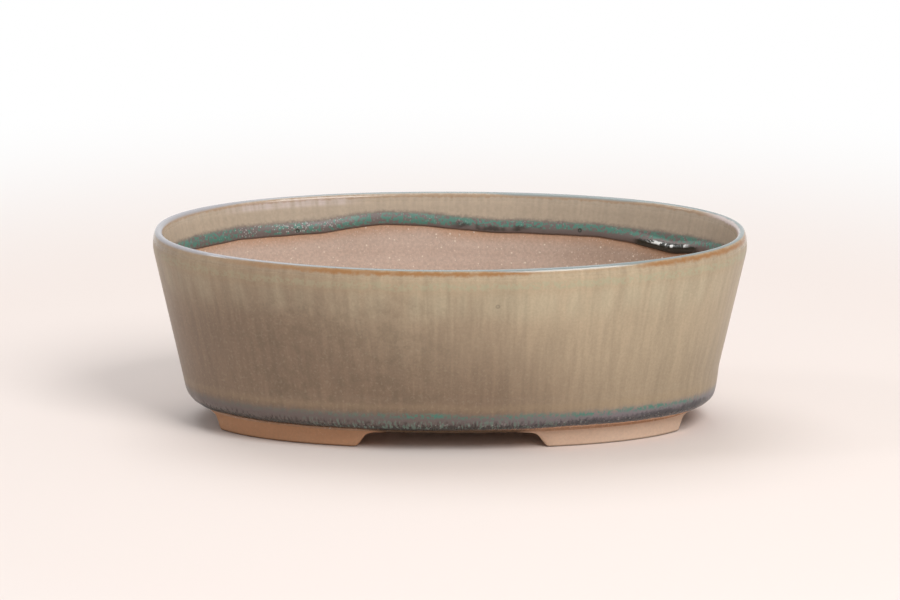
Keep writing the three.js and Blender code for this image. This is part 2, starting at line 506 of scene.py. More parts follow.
@dataclass(frozen=True)
class GlazeLine:
    """The glaze's lower edge inside the rim."""

    depth: float = 14.1 * MM
    sags: tuple[Sag, ...] = (
        Sag(4.0 * MM, 38, 12),
        Sag(0.9 * MM, 80, 32),
        Sag(-3.0 * MM, 101, 12.5),
        Sag(1.3 * MM, 215, 24),
        Sag(-1.0 * MM, 290, 20),
    )
    ripples: tuple[Wave, ...] = (
        Wave(7, 0.16 * MM, 12),
        Wave(11, 0.14 * MM, 51),
        Wave(23, 0.1 * MM, 5),
        Wave(41, 0.07 * MM, 2),
    )

    def at(self, angle: np.ndarray) -> np.ndarray:
        """Depth of the line below the lip at the given angles."""
        return self.depth + sagging(self.sags, angle) + swell(self.ripples, angle)


# Nodes that several finishes share


@dataclass(frozen=True)
class Ramp:
    """A smooth climb from the first number at low to the last one at high. Low may lie above high."""

    low: float
    high: float
    first: float = 0.0
    last: float = 1.0


@dataclass(frozen=True)
class Stripe:
    """A mask of 1 between low and high that fades over a soft margin inside each."""

    low: float
    high: float
    soft: float


@dataclass(frozen=True)
class Clouds:
    """Cloudy noise: clouds to the metre, finer layers, and how rough those are."""

    fineness: Feed
    detail: float
    roughness: float = 0.5


@dataclass(frozen=True)
class Streaks:
    """Noise drawn out up and down: its fineness to the metre, the factor on the height, finer layers."""

    fineness: float
    stretch: float
    detail: float


@dataclass(frozen=True)
class Specks:
    """Round specks: cells to the metre, a speck's reach in its cell, the share of cells that hold one."""

    fineness: float
    reach: float
    share: float


@dataclass(frozen=True)
class Value:
    """What a socket gives: a number, a place or a colour. Arithmetic on it adds the nodes that do it."""

    recipe: "Recipe"
    socket: bpy.types.NodeSocket

    def math(self, blend: Blend, other: Feed = 0.0) -> "Value":
        """One step of arithmetic on this value and another."""
        return self.recipe.value("ShaderNodeMath", {0: self, 1: other}, operation=blend.value)

    def __add__(self, other: Feed) -> "Value":
        """This value plus another."""
        return self.math(Blend.ADD, other)

    def __sub__(self, other: Feed) -> "Value":
        """This value less another."""
        return self.math(Blend.SUBTRACT, other)

    def __mul__(self, other: Feed) -> "Value":
        """This value times another."""
        return self.math(Blend.MULTIPLY, other)

    def scaled(self, factor: float, shift: float) -> "Value":
        """This value times a factor, plus a shift."""
        feeds = {0: self, 1: factor, 2: shift}
        return self.recipe.value("ShaderNodeMath", feeds, operation="MULTIPLY_ADD")

    def sway(self, reach: float) -> "Value":
        """A value from 0 to 1 spread over the reach to both sides of nothing."""
        return self.scaled(2 * reach, -reach)

    def rest(self, share: float) -> "Value":
        """What is left of 1 when a share of this value is taken away."""
        return self.scaled(-share, 1.0)

    def step(self, ramp: Ramp) -> "Value":
        """Climbs along a ramp as 3 t^2 - 2 t^3.

        Args:
            ramp: where the climb starts and ends, and the numbers that it joins.

        Returns:
            The result.
        """
        reach = {"From Min": ramp.low, "From Max": ramp.high, "To Min": ramp.first, "To Max": ramp.last}
        feeds = {"Value": self, **reach}
        return self.recipe.value("ShaderNodeMapRange", feeds, interpolation_type="SMOOTHSTEP")

    def band(self, stripe: Stripe) -> "Value":
        """The mask of a stripe: a climb inside its low end times a fall inside its high end."""
        rise = self.step(Ramp(stripe.low, stripe.low + stripe.soft))
        return rise * self.step(Ramp(stripe.high - stripe.soft, stripe.high, 1.0, 0.0))

    def mix(self, first: Feed, second: Feed) -> "Value":
        """Goes from the first colour to the second as this mask goes from 0 to 1."""
        feeds = {0: self, MIX_FIRST: first, MIX_SECOND: second}
        return self.recipe.value("ShaderNodeMix", feeds, MIX_RESULT, data_type="RGBA")

    def tint(self, colour: Feed) -> "Value":
        """The colour made lighter or darker by this factor."""
        start = colour if isinstance(colour, Value) else colour[:3]
        return self.recipe.value("ShaderNodeVectorMath", {0: start, "Scale": self}, operation="SCALE")

    def part(self, axis: int) -> "Value":
        """One part of a place: 0 for x, 1 for y and 2 for z."""
        return self.recipe.value("ShaderNodeSeparateXYZ", {0: self}, axis)

    def noise(self, clouds: Clouds) -> "Value":
        """Cloudy noise from 0 to 1, read at this place."""
        feeds = {"Scale": clouds.fineness, "Detail": clouds.detail, "Roughness": clouds.roughness}
        return self.recipe.value("ShaderNodeTexNoise", {"Vector": self, **feeds})


class Recipe:
    """Writes the nodes and links of one material or group in short calls."""

    def __init__(self, tree: bpy.types.NodeTree) -> None:
        """Empties the tree that the recipe is written in."""
        self.tree = tree
        tree.nodes.clear()

    def feed(self, socket: bpy.types.NodeSocket, value: Feed) -> None:
        """Links a socket to a value, or sets its own number or colour.

        Args:
            socket: the socket that is fed.
            value: what goes in.
        """
        if isinstance(value, Value):
            self.tree.links.new(value.socket, socket)
        else:
            socket.default_value = value

    def node(self, kind: str, feeds: Feeds, **settings: object) -> bpy.types.Node:
        """Adds a node.

        Args:
            kind: Blender's name for the node.
            feeds: what goes into its sockets, by name or number.
            **settings: the node's own choices.

        Returns:
            The new node.
        """
        made = self.tree.nodes.new(kind)
        for key, value in settings.items():
            setattr(made, key, value)
        for key, value in feeds.items():
            self.feed(made.inputs[key], value)
        return made

    def value(self, kind: str, feeds: Feeds, output: int | str = 0, **settings: object) -> Value:
        """Adds a node and takes one of its outputs."""
        return Value(self, self.node(kind, feeds, **settings).outputs[output])

    def attribute(self, name: str, output: str = "Fac") -> Value:
        """A number kept on the piece's vertices, or a place, with Vector for the output."""
        return self.value("ShaderNodeAttribute", {}, output, attribute_name=name)

    def place(self) -> Value:
        """Object coordinates, in metres."""
        return self.value("ShaderNodeTexCoord", {}, "Object")


class SharedGroups:
    """Effects that more than one finish uses, each a node group that is built once."""

    speck_edge: Ramp = Ramp(0.55, 1.0, 1.0, 0.0)
    grain_detail: float = 4.0
    grain_roughness: float = 0.65
    cloud_share: float = 0.04
    cloud_detail: float = 3.0

    def __init__(self) -> None:
        """Builds the groups."""
        self.specks = self._specks()
        self.streaks = self._streaks()
        self.grain = self._grain()

    def draw(self, place: Value, pattern: Specks | Streaks) -> Value:
        """Places the group of specks or streaks, whose sockets have the names of the pattern's fields.

        Args:
            place: where the pattern is read.
            pattern: what it is like.

        Returns:
            A value from 0 to 1.
        """
        tree = self.specks if isinstance(pattern, Specks) else self.streaks
        return place.recipe.value("ShaderNodeGroup", {"vector": place, **asdict(pattern)}, node_tree=tree)

    def tooth(self, place: Value, fineness: float) -> tuple[Value, Value]:
        """Places the group of the clay's grain.

        Args:
            place: where the grain is read.
            fineness: grains to the metre.

        Returns:
            Its height and its slow clouds, from 0 to 1.
        """
        recipe = place.recipe
        feeds = {"vector": place, "fineness": fineness}
        made = recipe.node("ShaderNodeGroup", feeds, node_tree=self.grain).outputs
        return Value(recipe, made["height"]), Value(recipe, made["cloud"])

    @staticmethod
    def _open(
        name: str, numbers: Sequence[str], outputs: Sequence[str]
    ) -> tuple[Recipe, dict[str, Value], bpy.types.Node]:
        """Starts a group that takes a vector and some numbers.

        Args:
            name: name of the group.
            numbers: names of the numbers that come in.
            outputs: names of the numbers that go out.

        Returns:
            The recipe, the values that come in by name, and the node of outputs.
        """
        tree = bpy.data.node_groups.new(name, "ShaderNodeTree")
        recipe = Recipe(tree)
        tree.interface.new_socket("vector", in_out="INPUT", socket_type="NodeSocketVector")
        for label in numbers:
            tree.interface.new_socket(label, in_out="INPUT", socket_type="NodeSocketFloat")
        for label in outputs:
            tree.interface.new_socket(label, in_out="OUTPUT", socket_type="NodeSocketFloat")
        sockets = recipe.node("NodeGroupInput", {}).outputs
        come = {label: Value(recipe, sockets[label]) for label in ("vector", *numbers)}
        return recipe, come, recipe.node("NodeGroupOutput", {})

    def _specks(self) -> bpy.types.NodeTree:
        """Small round specks: near the middle of a cell, in the share of the cells that draw a low number.

        Returns:
            The group.
        """
        recipe, come, go = self._open("specks", ("fineness", "reach", "share"), ("mask",))
        feeds = {"Vector": come["vector"], "Scale": come["fineness"]}
        cells = recipe.node("ShaderNodeTexVoronoi", feeds).outputs
        draw = recipe.value("ShaderNodeSeparateColor", {0: Value(recipe, cells["Color"])})
        chosen = draw.math(Blend.LESS, come["share"])
        near = Value(recipe, cells["Distance"]).math(Blend.DIVIDE, come["reach"])
        recipe.feed(go.inputs["mask"], chosen * near.step(self.speck_edge))
        return recipe.tree

    def _streaks(self) -> bpy.types.NodeTree:
        """Noise drawn out up and down: the height is multiplied by the stretch before the noise is read.

        Returns:
            The group.
        """
        recipe, come, go = self._open("streaks", ("fineness", "stretch", "detail"), ("value",))
        ratio = recipe.value("ShaderNodeCombineXYZ", {0: 1.0, 1: 1.0, 2: come["stretch"]})
        drawn = recipe.value("ShaderNodeVectorMath", {0: come["vector"], 1: ratio}, operation="MULTIPLY")
        recipe.feed(go.inputs["value"], drawn.noise(Clouds(come["fineness"], come["detail"])))
        return recipe.tree

    def _grain(self) -> bpy.types.NodeTree:
        """The tooth of fired clay: fine noise for the height, and slow clouds for the colour.

        Returns:
            The group.
        """
        recipe, come, go = self._open("clay_grain", ("fineness",), ("height", "cloud"))
        fine = Clouds(come["fineness"], self.grain_detail, self.grain_roughness)
        slow = Clouds(come["fineness"] * self.cloud_share, self.cloud_detail)
        recipe.feed(go.inputs["height"], come["vector"].noise(fine))
        recipe.feed(go.inputs["cloud"], come["vector"].noise(slow))
        return recipe.tree


class Surface:
    """A new material, with its recipe, its Principled shader and its output node."""

    def __init__(self, name: str) -> None:
        """Starts the material, with the shader linked to the output.

        Args:
            name: name of the material.
        """
        self.material = bpy.data.materials.new(name)
        self.material.use_nodes = True
        self.recipe = Recipe(self.material.node_tree)
        self.shader = self.recipe.value("ShaderNodeBsdfPrincipled", {})
        self.output = self.recipe.node("ShaderNodeOutputMaterial", {"Surface": self.shader})

    def set(self, name: str, value: Feed) -> None:
        """Feeds one of the shader's sockets."""
        self.recipe.feed(self.shader.socket.node.inputs[name], value)

    def bump(self, height: Value, strength: float, depth: float) -> None:
        """Tilts the shader's normal by a height that is worth so many metres."""
        feeds = {"Strength": strength, "Distance": depth, "Height": height}
        self.set("Normal", self.recipe.value("ShaderNodeBump", feeds))


# Finishes


@dataclass(frozen=True)
class ClayFinish:
    """Bare stoneware: a ground that turns into another tone towards +X, clouds, grog, an orange flash.

    The turn towards +X is painted: on the bare clay a darker tone, painted shade inside the right end, and
    on the feet a paler, greyer tone, painted light and sheen from the key lamp on the right. Within a
    millimetre of the ground the clay is darkened as a painted contact shadow, and a mask turns it to a dark
    tone where shade under the roll is painted on the floor's rim.
    """

    name: str
    ground: Tone
    far: Tone
    flash: Tone
    grog: Tone
    flash_fade: float
    speck_share: float
    far_from: float
    far_to: float
    tooth: float
    # Dark tone of the painted shade on the floor's rim, under the roll
    stain: Tone = tone(92, 74, 56)
    grain_fineness: float = 900.0
    grain_reach: tuple[float, float] = (0.3, 0.7)
    grain_rough: tuple[float, float] = (0.74, 0.92)
    pale_share: float = 0.6
    specular: float = 0.3
    cloud_sway: float = 0.4
    wander: Clouds = Clouds(45.0, 3.0)
    wander_share: float = 0.8
    flash_reach: tuple[float, float] = (0.1, 1.3)
    flash_strength: float = 0.9
    speck: tuple[float, float] = (520.0, 0.24)
    speck_strength: float = 0.75
    speck_rise: float = 0.5
    fleck: tuple[float, float] = (1100.0, 0.3)
    fleck_ratio: float = 2.0
    fleck_strength: float = 0.4
    # Darkening within a millimetre of the ground: painted contact shadow
    sole: Ramp = Ramp(0.2 * MM, 1.1 * MM, 0.45, 1.0)
    wipes: Streaks = Streaks(55.0, 24.0, 2.0)
    wipe_rise: float = 0.6
    bump_strength: float = 0.55
    bump_depth: float = 0.12 * MM

    def material(self, shared: SharedGroups) -> bpy.types.Material:
        """Builds the material.

        It reads two attributes: bare, the millimetres from the edge of the glaze, and a mask that is 1 on
        the floor's rim over the long windows, where it lays painted shade in a dark tone.

        Args:
            shared: the groups that the finishes share.

        Returns:
            The material.
        """
        surface = Surface(self.name)
        recipe, fade = surface.recipe, self.flash_fade
        place = recipe.place()
        height, cloud = shared.tooth(place, self.grain_fineness)
        # Towards +X the ground turns into the far tone: painted shade on the bare clay, painted light and
        # sheen on the feet
        side = place.part(0).step(Ramp(self.far_from, self.far_to))
        share = recipe.value("ShaderNodeClamp", {0: side + cloud.sway(self.cloud_sway)})
        colour = share.mix(self.ground, self.far)
        bare = recipe.attribute("bare") + place.noise(self.wander) * (self.wander_share * fade)
        near, far = self.flash_reach
        flash = bare.step(Ramp(near * fade, far * fade, self.flash_strength, 0.0))
        colour = flash.mix(colour, self.flash)
        specks = shared.draw(place, Specks(*self.speck, self.speck_share))
        colour = (specks * self.speck_strength).mix(colour, self.grog)
        flecks = shared.draw(place, Specks(*self.fleck, self.fleck_ratio * self.speck_share))
        colour = (flecks * self.fleck_strength).mix(colour, self.grog)
        shade = height.step(Ramp(*self.grain_reach, 1 - self.tooth, 1 + self.pale_share * self.tooth))
        # The clay near the ground is darkened as a painted contact shadow
        colour = place.part(2).step(self.sole).tint(shade.tint(colour))
        # Where the mask is 1, the clay turns to the dark tone of painted shade
        surface.set("Base Color", recipe.attribute("stain").mix(colour, self.stain))
        surface.set("Roughness", height.step(Ramp(*self.grain_reach, *self.grain_rough)))
        surface.set("Specular IOR Level", self.specular)
        wiped = shared.draw(place, self.wipes)
        raised = height + specks * self.speck_rise + wiped * self.wipe_rise
        surface.bump(raised, self.bump_strength, self.bump_depth)
        return surface.material


@dataclass(frozen=True)
class GlazeMark:
    """A small round fault in the glaze: where it is, its radius, and how deep it looks."""

    place: tuple[float, float, float]
    radius: float
    depth: float


@dataclass(frozen=True)
class CoatPattern:
    """The noises that every part of the coat reads, and how its rows ride over the heavy drop."""

    fine: Streaks = Streaks(520.0, 0.06, 2.0)
    broad: Streaks = Streaks(130.0, 0.1, 2.0)
    patch: Clouds = Clouds(720.0, 2.5, 0.6)
    cloud: Clouds = Clouds(24.0, 2.0)
    drop_lift: float = 2.6
    row_sway: float = 1.0


@dataclass(frozen=True)
class CoatReading:
    """What the glaze's nodes know at a point of the coat.

    place is in metres, and run is the same place carried up to one ring, with the fall as its height, so
    that streaks in it follow the wall. fall is 0 on the lip's crest, grows outside and drops below 0
    inside; edge is the distance to the nearest end of the coat; along is the place along the pot; rows is
    a ragged edge that rides up over the heavy drop: all in millimetres. drip is 1 where the glaze has run
    most. The rest are noises from 0 to 1: fine and broad streaks, clouds and small patches.
    """

    place: Value
    run: Value
    fall: Value
    edge: Value
    along: Value
    drip: Value
    rows: Value
    fine: Value
    broad: Value
    cloud: Value
    patch: Value

    @classmethod
    def take(cls, recipe: Recipe, shared: SharedGroups, look: CoatPattern) -> "CoatReading":
        """Adds the nodes that read the coat's attributes and the noises.

        Args:
            recipe: the material's recipe.
            shared: the groups that the finishes share.
            look: what the noises are like.

        Returns:
            The readings.
        """
        place = recipe.place()
        run = recipe.attribute("run", "Vector")
        edge = recipe.attribute("edge")
        drip = recipe.attribute("drip")
        patch = run.noise(look.patch)
        return cls(
            place=place,
            run=run,
            fall=recipe.attribute("fall"),
            edge=edge,
            along=place.part(0) * PER_MM,
            drip=drip,
            rows=edge - drip * look.drop_lift + patch.sway(look.row_sway),
            fine=shared.draw(run, look.fine),
            broad=shared.draw(run, look.broad),
            cloud=place.noise(look.cloud),
            patch=patch,
        )


@dataclass(frozen=True)
class WallPattern:
    """How the outer wall is coloured: by millimetres along the pot or below the lip, or by a noise."""

    streak_sway: float = 5.0
    cloud_sway: float = 12.0
    # The leans tilt the gathering line; its rise towards the left darkens that side, painted shade away from
    # the key lamp
    left_lean: Ramp = Ramp(-90.0, -20.0, 10.0, 0.0)
    lean_rate: float = -0.24
    right_lean: Ramp = Ramp(20.0, 85.0, 0.0, -8.0)
    left_end_lean: Ramp = Ramp(-104.0, -78.0, -12.0, 0.0)
    gathering: Ramp = Ramp(-16.0, 68.0)
    right_gathering: Ramp = Ramp(10.0, 80.0, 1.0, 0.55)
    right_shade: Ramp = Ramp(45.0, 95.0, 1.0, 0.87)
    veil_wander: float = 0.4
    veil: Stripe = Stripe(3.0, 27.0, 10.0)
    veil_streaks: Ramp = Ramp(0.3, 0.7)
    veil_right: Ramp = Ramp(-60.0, 30.0, 0.3, 0.55)
    fine_shade: Ramp = Ramp(0.22, 0.78, 0.96, 1.04)
    dashes: Streaks = Streaks(430.0, 0.11, 3.0)
    dash_shade: Ramp = Ramp(0.3, 0.7, 0.93, 1.07)
    broad_shade: Ramp = Ramp(0.25, 0.75, 0.965, 1.035)
    grain: Clouds = Clouds(1000.0, 3.0, 0.7)
    grain_shade: Ramp = Ramp(0.3, 0.7, 0.94, 1.06)
    stains: Clouds = Clouds(150.0, 5.0, 0.7)
    stain_patches: Ramp = Ramp(0.42, 0.64)
    stain_reach: Stripe = Stripe(-104.0, 20.0, 40.0)
    stain_strength: Ramp = Ramp(6.0, 22.0, 0.0, 0.27)
    freckles: Clouds = Clouds(820.0, 2.0)
    freckle_spots: Ramp = Ramp(0.54, 0.72)
    freckle_strength: float = 0.13
    row_sway: float = 2.0
    row: Stripe = Stripe(5.2, 10.0, 1.8)
    row_patches: Ramp = Ramp(0.4, 0.54)
    row_strength: float = 0.75


@dataclass(frozen=True)
class RollPattern:
    """How the roll above the feet is coloured. Heights are millimetres above the coat's lower end."""

    fine_sway: float = 1.0
    cloud_sway: float = 1.5
    top: Ramp = Ramp(14.5, 10.4)
    pale_line: Stripe = Stripe(13.4, 18.0, 2.2)
    pale_line_strength: float = 0.18
    right: Ramp = Ramp(10.0, 55.0)
    bluer: Ramp = Ramp(-15.0, 75.0)
    foot: Ramp = Ramp(8.7, 6.0)
    foot_sway: float = 1.8
    right_rise: float = 0.6
    right_end_rise: Ramp = Ramp(62.0, 98.0, 0.0, 1.5)
    slow: Clouds = Clouds(75.0, 3.0)
    blotches: Ramp = Ramp(0.38, 0.52)
    blotch_height: Ramp = Ramp(9.2, 7.4)
    blotch_strength: float = 0.75
    runs: Streaks = Streaks(950.0, 0.4, 2.0)
    thick_runs: Ramp = Ramp(0.47, 0.36)
    thick_height: Stripe = Stripe(3.0, 10.4, 1.8)
    thick_strength: float = 0.6
    pale_runs: Ramp = Ramp(0.52, 0.62)
    pale_height: Stripe = Stripe(4.8, 10.8, 1.8)
    pale_reach: Stripe = Stripe(-80.0, 64.0, 45.0)
    pale_gain: float = 0.95
    pale_base: float = 0.05
    pale_strength: float = 0.75
    # Painted glints on the roll's lower part
    glints: Specks = Specks(1050.0, 0.5, 0.2)
    glint_reach: Ramp = Ramp(-70.0, -20.0)
    glint_height: Stripe = Stripe(4.8, 9.4, 1.2)
    glint_strength: float = 0.3
    drop_patches: Ramp = Ramp(0.43, 0.56)
    drop_height: Stripe = Stripe(10.0, 13.5, 1.7)
    drop_reach: Ramp = Ramp(-70.0, -5.0, 0.12, 0.85)
    drop_gaps: Ramp = Ramp(0.3, 0.55, 0.6, 1.0)
    drop_end: Ramp = Ramp(92.0, 103.0, 1.0, 0.2)
    bare_end: Ramp = Ramp(5.6, 4.4)
    bare_sway: float = 0.8
    bare_reach: Ramp = Ramp(-10.0, 60.0)


@dataclass(frozen=True)
class InsidePattern:
    """How the band inside the rim is coloured. Heights are millimetres above the coat's inner end."""

    patch_shade: Ramp = Ramp(0.3, 0.7, 0.95, 1.05)
    streak_shade: Ramp = Ramp(0.25, 0.75, 0.94, 1.06)
    depth_shade: Ramp = Ramp(-8.0, -4.0, 0.92, 1.0)
    # Lighter at the left and darker towards the right: painted shade inside the right end, away from the key
    # lamp
    right_shade: Ramp = Ramp(10.0, 90.0, 1.05, 0.92)
    left: Stripe = Stripe(-98.0, -32.0, 18.0)
    right: Ramp = Ramp(-14.0, 12.0)
    slow: Clouds = Clouds(75.0, 3.0)
    # A painted sheen near the crest on the left
    sheen_depth: Stripe = Stripe(-6.2, -1.2, 1.8)
    sheen_streaks: Ramp = Ramp(0.3, 0.7, 0.2, 0.65)
    top: Ramp = Ramp(7.0, 4.2)
    foot_rise: float = 1.5
    foot_base: float = 0.5
    teal_foot: Ramp = Ramp(0.0, 0.9)
    teal_top: Ramp = Ramp(6.0, 4.6)
    teal_left_loss: float = 0.06
    teal_sway: float = 0.15
    teal_patches: Ramp = Ramp(0.45, 0.53)
    teal_strength: float = 0.76
    blobs: Ramp = Ramp(0.46, 0.54)
    blob_height: Stripe = Stripe(0.3, 3.4, 0.8)
    blob_reach: Stripe = Stripe(-2.0, 42.0, 8.0)
    blob_strength: float = 0.8
    # Painted glints among the teal patches, most on the left
    glints: Specks = Specks(1400.0, 0.55, 0.4)
    glint_clusters: Clouds = Clouds(200.0, 3.0, 0.6)
    glint_share: Ramp = Ramp(0.44, 0.6, 0.15, 1.0)
    glint_left_gain: float = 0.5
    glint_base: float = 0.2
    brown_edge: Ramp = Ramp(0.9, 0.1)
    brown_strength: float = 0.5


@dataclass(frozen=True)
class DropPattern:
    """Where the heavy drop on the inner edge lies, and where the highlight painted on it is broken."""

    foot: Ramp = Ramp(1.9, 1.2)
    spread: Ramp = Ramp(0.22, 0.4)
    breaks: Clouds = Clouds(460.0, 3.0, 0.65)
    shine_patches: Ramp = Ramp(0.49, 0.56)
    shine_height: Stripe = Stripe(2.0, 4.0, 0.7)
    shine_spread: Ramp = Ramp(0.5, 0.75)


@dataclass(frozen=True)
class LipPattern:
    """How the lip is coloured. Stripes go by millimetres below the crest, and below 0 inside."""

    thin: Clouds = Clouds(420.0, 4.0, 0.65)
    thin_sway: float = 1.3
    worn: Clouds = Clouds(230.0, 3.0)
    brown_left: Ramp = Ramp(-100.0, -40.0, 0.22, 0.95)
    brown_gap: Stripe = Stripe(26.0, 84.0, 14.0)
    brown_gap_loss: float = 0.72
    brown_worn: Ramp = Ramp(0.34, 0.48, 0.74, 0.95)
    wide_end: Ramp = Ramp(70.0, 95.0)
    wide_share: float = 0.08
    outer: Stripe = Stripe(0.2, 4.0, 1.8)
    halo: Stripe = Stripe(2.0, 13.0, 4.0)
    halo_strength: float = 0.08
    inner: Stripe = Stripe(-3.4, -1.2, 0.9)
    inner_strength: float = 0.4
    # The crest is broadened at the left end as a painted reflection, and right of the middle under the
    # lamp's highlight, partly painted highlight
    broad_left: Ramp = Ramp(-70.0, -105.0)
    broad_right: Stripe = Stripe(10.0, 88.0, 18.0)
    broad_right_share: float = 0.9
    broad_share: float = 0.45
    crest_inside: Ramp = Ramp(-1.6, -0.8)
    crest_outside: Ramp = Ramp(1.3, 0.6)
    crest_tones: Ramp = Ramp(-100.0, -20.0)
    # Painted highlight inside the right end of the lip
    gleam: Stripe = Stripe(-3.4, -0.4, 1.2)
    gleam_end: Ramp = Ramp(101.0, 111.0)
    gleam_strength: float = 0.8


@dataclass(frozen=True)
class GlossPattern:
    """How rough the glaze is, how much smoother its thick places are, and the height of its ripples."""

    rough_base: float = 0.32
    rough_streaks: float = 0.16
    roll: Ramp = Ramp(14.0, 6.0)
    roll_loss: float = 0.14
    lip: Ramp = Ramp(6.0, 3.0)
    lip_loss: float = 0.25
    drop_loss: float = 0.28
    ripple: Ramp = Ramp(6.0, 14.0, 0.0, 0.3)
    grain_fineness: float = 700.0
    grain_rise: float = 0.3
    bump_strength: float = 0.3
    bump_depth: float = 0.15 * MM


@dataclass(frozen=True)
class PitPattern:
    """How a pit shows, by the distance from its middle over its radius."""

    rim: Ramp = Ramp(1.0, 0.7)
    middle: Ramp = Ramp(0.2, 0.6, 0.3, 1.0)
    hollow: Ramp = Ramp(1.0, 0.4)
    hollow_depth: float = 3.0


@dataclass(frozen=True)
class GlazeFinish:
    """A running tan glaze: thin and brown at the lip, streaked on the wall, dark where it gathers."""

    marks: tuple[GlazeMark, ...]
    coat: CoatPattern = CoatPattern()
    wall: WallPattern = WallPattern()
    roll: RollPattern = RollPattern()
    inside: InsidePattern = InsidePattern()
    drop: DropPattern = DropPattern()
    lip: LipPattern = LipPattern()
    gloss: GlossPattern = GlossPattern()
    pit: PitPattern = PitPattern()
    crest: Tone = tone(138, 147, 146)
    # Lilac white of the crest at the left end: a painted reflection
    crest_left: Tone = tone(170, 168, 172)
    thin_brown: Tone = tone(160, 110, 56)
    upper: Tone = tone(190, 172, 144)
    lower: Tone = tone(131, 110, 90)
    olive: Tone = tone(94, 81, 62)
    green_veil: Tone = tone(187, 177, 150)
    green_row: Tone = tone(172, 182, 152)
    pale_line: Tone = tone(170, 148, 116)
    mauve: Tone = tone(109, 97, 93)
    lilac: Tone = tone(128, 120, 125)
    dark: Tone = tone(40, 36, 28)
    slate: Tone = tone(66, 66, 71)
    teal: Tone = tone(64, 132, 116)
    teal_grey: Tone = tone(110, 134, 122)
    # Pale specks painted as glints on the roll and inside the rim
    glint: Tone = tone(196, 196, 192)
    # Pale tone of the painted sheen inside the left of the rim and of the painted highlight inside its right
    # end
    sheen: Tone = tone(222, 208, 206)
    band_tan: Tone = tone(189, 172, 151)
    bead: Tone = tone(40, 40, 32)
    # Painted highlight on the heavy drop
    shine: Tone = tone(240, 242, 240)
    edge_brown: Tone = tone(92, 76, 68)
    thin_clay: Tone = tone(206, 160, 126)

    def material(self, shared: SharedGroups) -> bpy.types.Material:
        """Builds the material from the coat's readings.

        Args:
            shared: the groups that the finishes share.

        Returns:
            The material.
        """
        look = self.gloss
        surface = Surface("running_glaze")
        at = CoatReading.take(surface.recipe, shared, self.coat)
        brush = GlazeBrush(self, shared, at)
        outside = at.fall.math(Blend.GREATER, 0.0)
        # The heavy drop is laid inside, with its painted highlight on top
        drop, shine = brush.drop()
        inside = shine.mix(drop.mix(brush.inside(), self.bead), self.shine)
        colour = brush.lip(outside.mix(inside, brush.roll(brush.wall())))
        dent, colour = brush.pits(colour)
        surface.set("Base Color", colour)
        surface.set("Roughness", brush.roughness(outside, drop))
        grain, _ = shared.tooth(at.place, look.grain_fineness)
        ripple = at.fine * at.edge.step(look.ripple) + grain * look.grain_rise
        surface.bump(ripple - dent, look.bump_strength, look.bump_depth)
        return surface.material


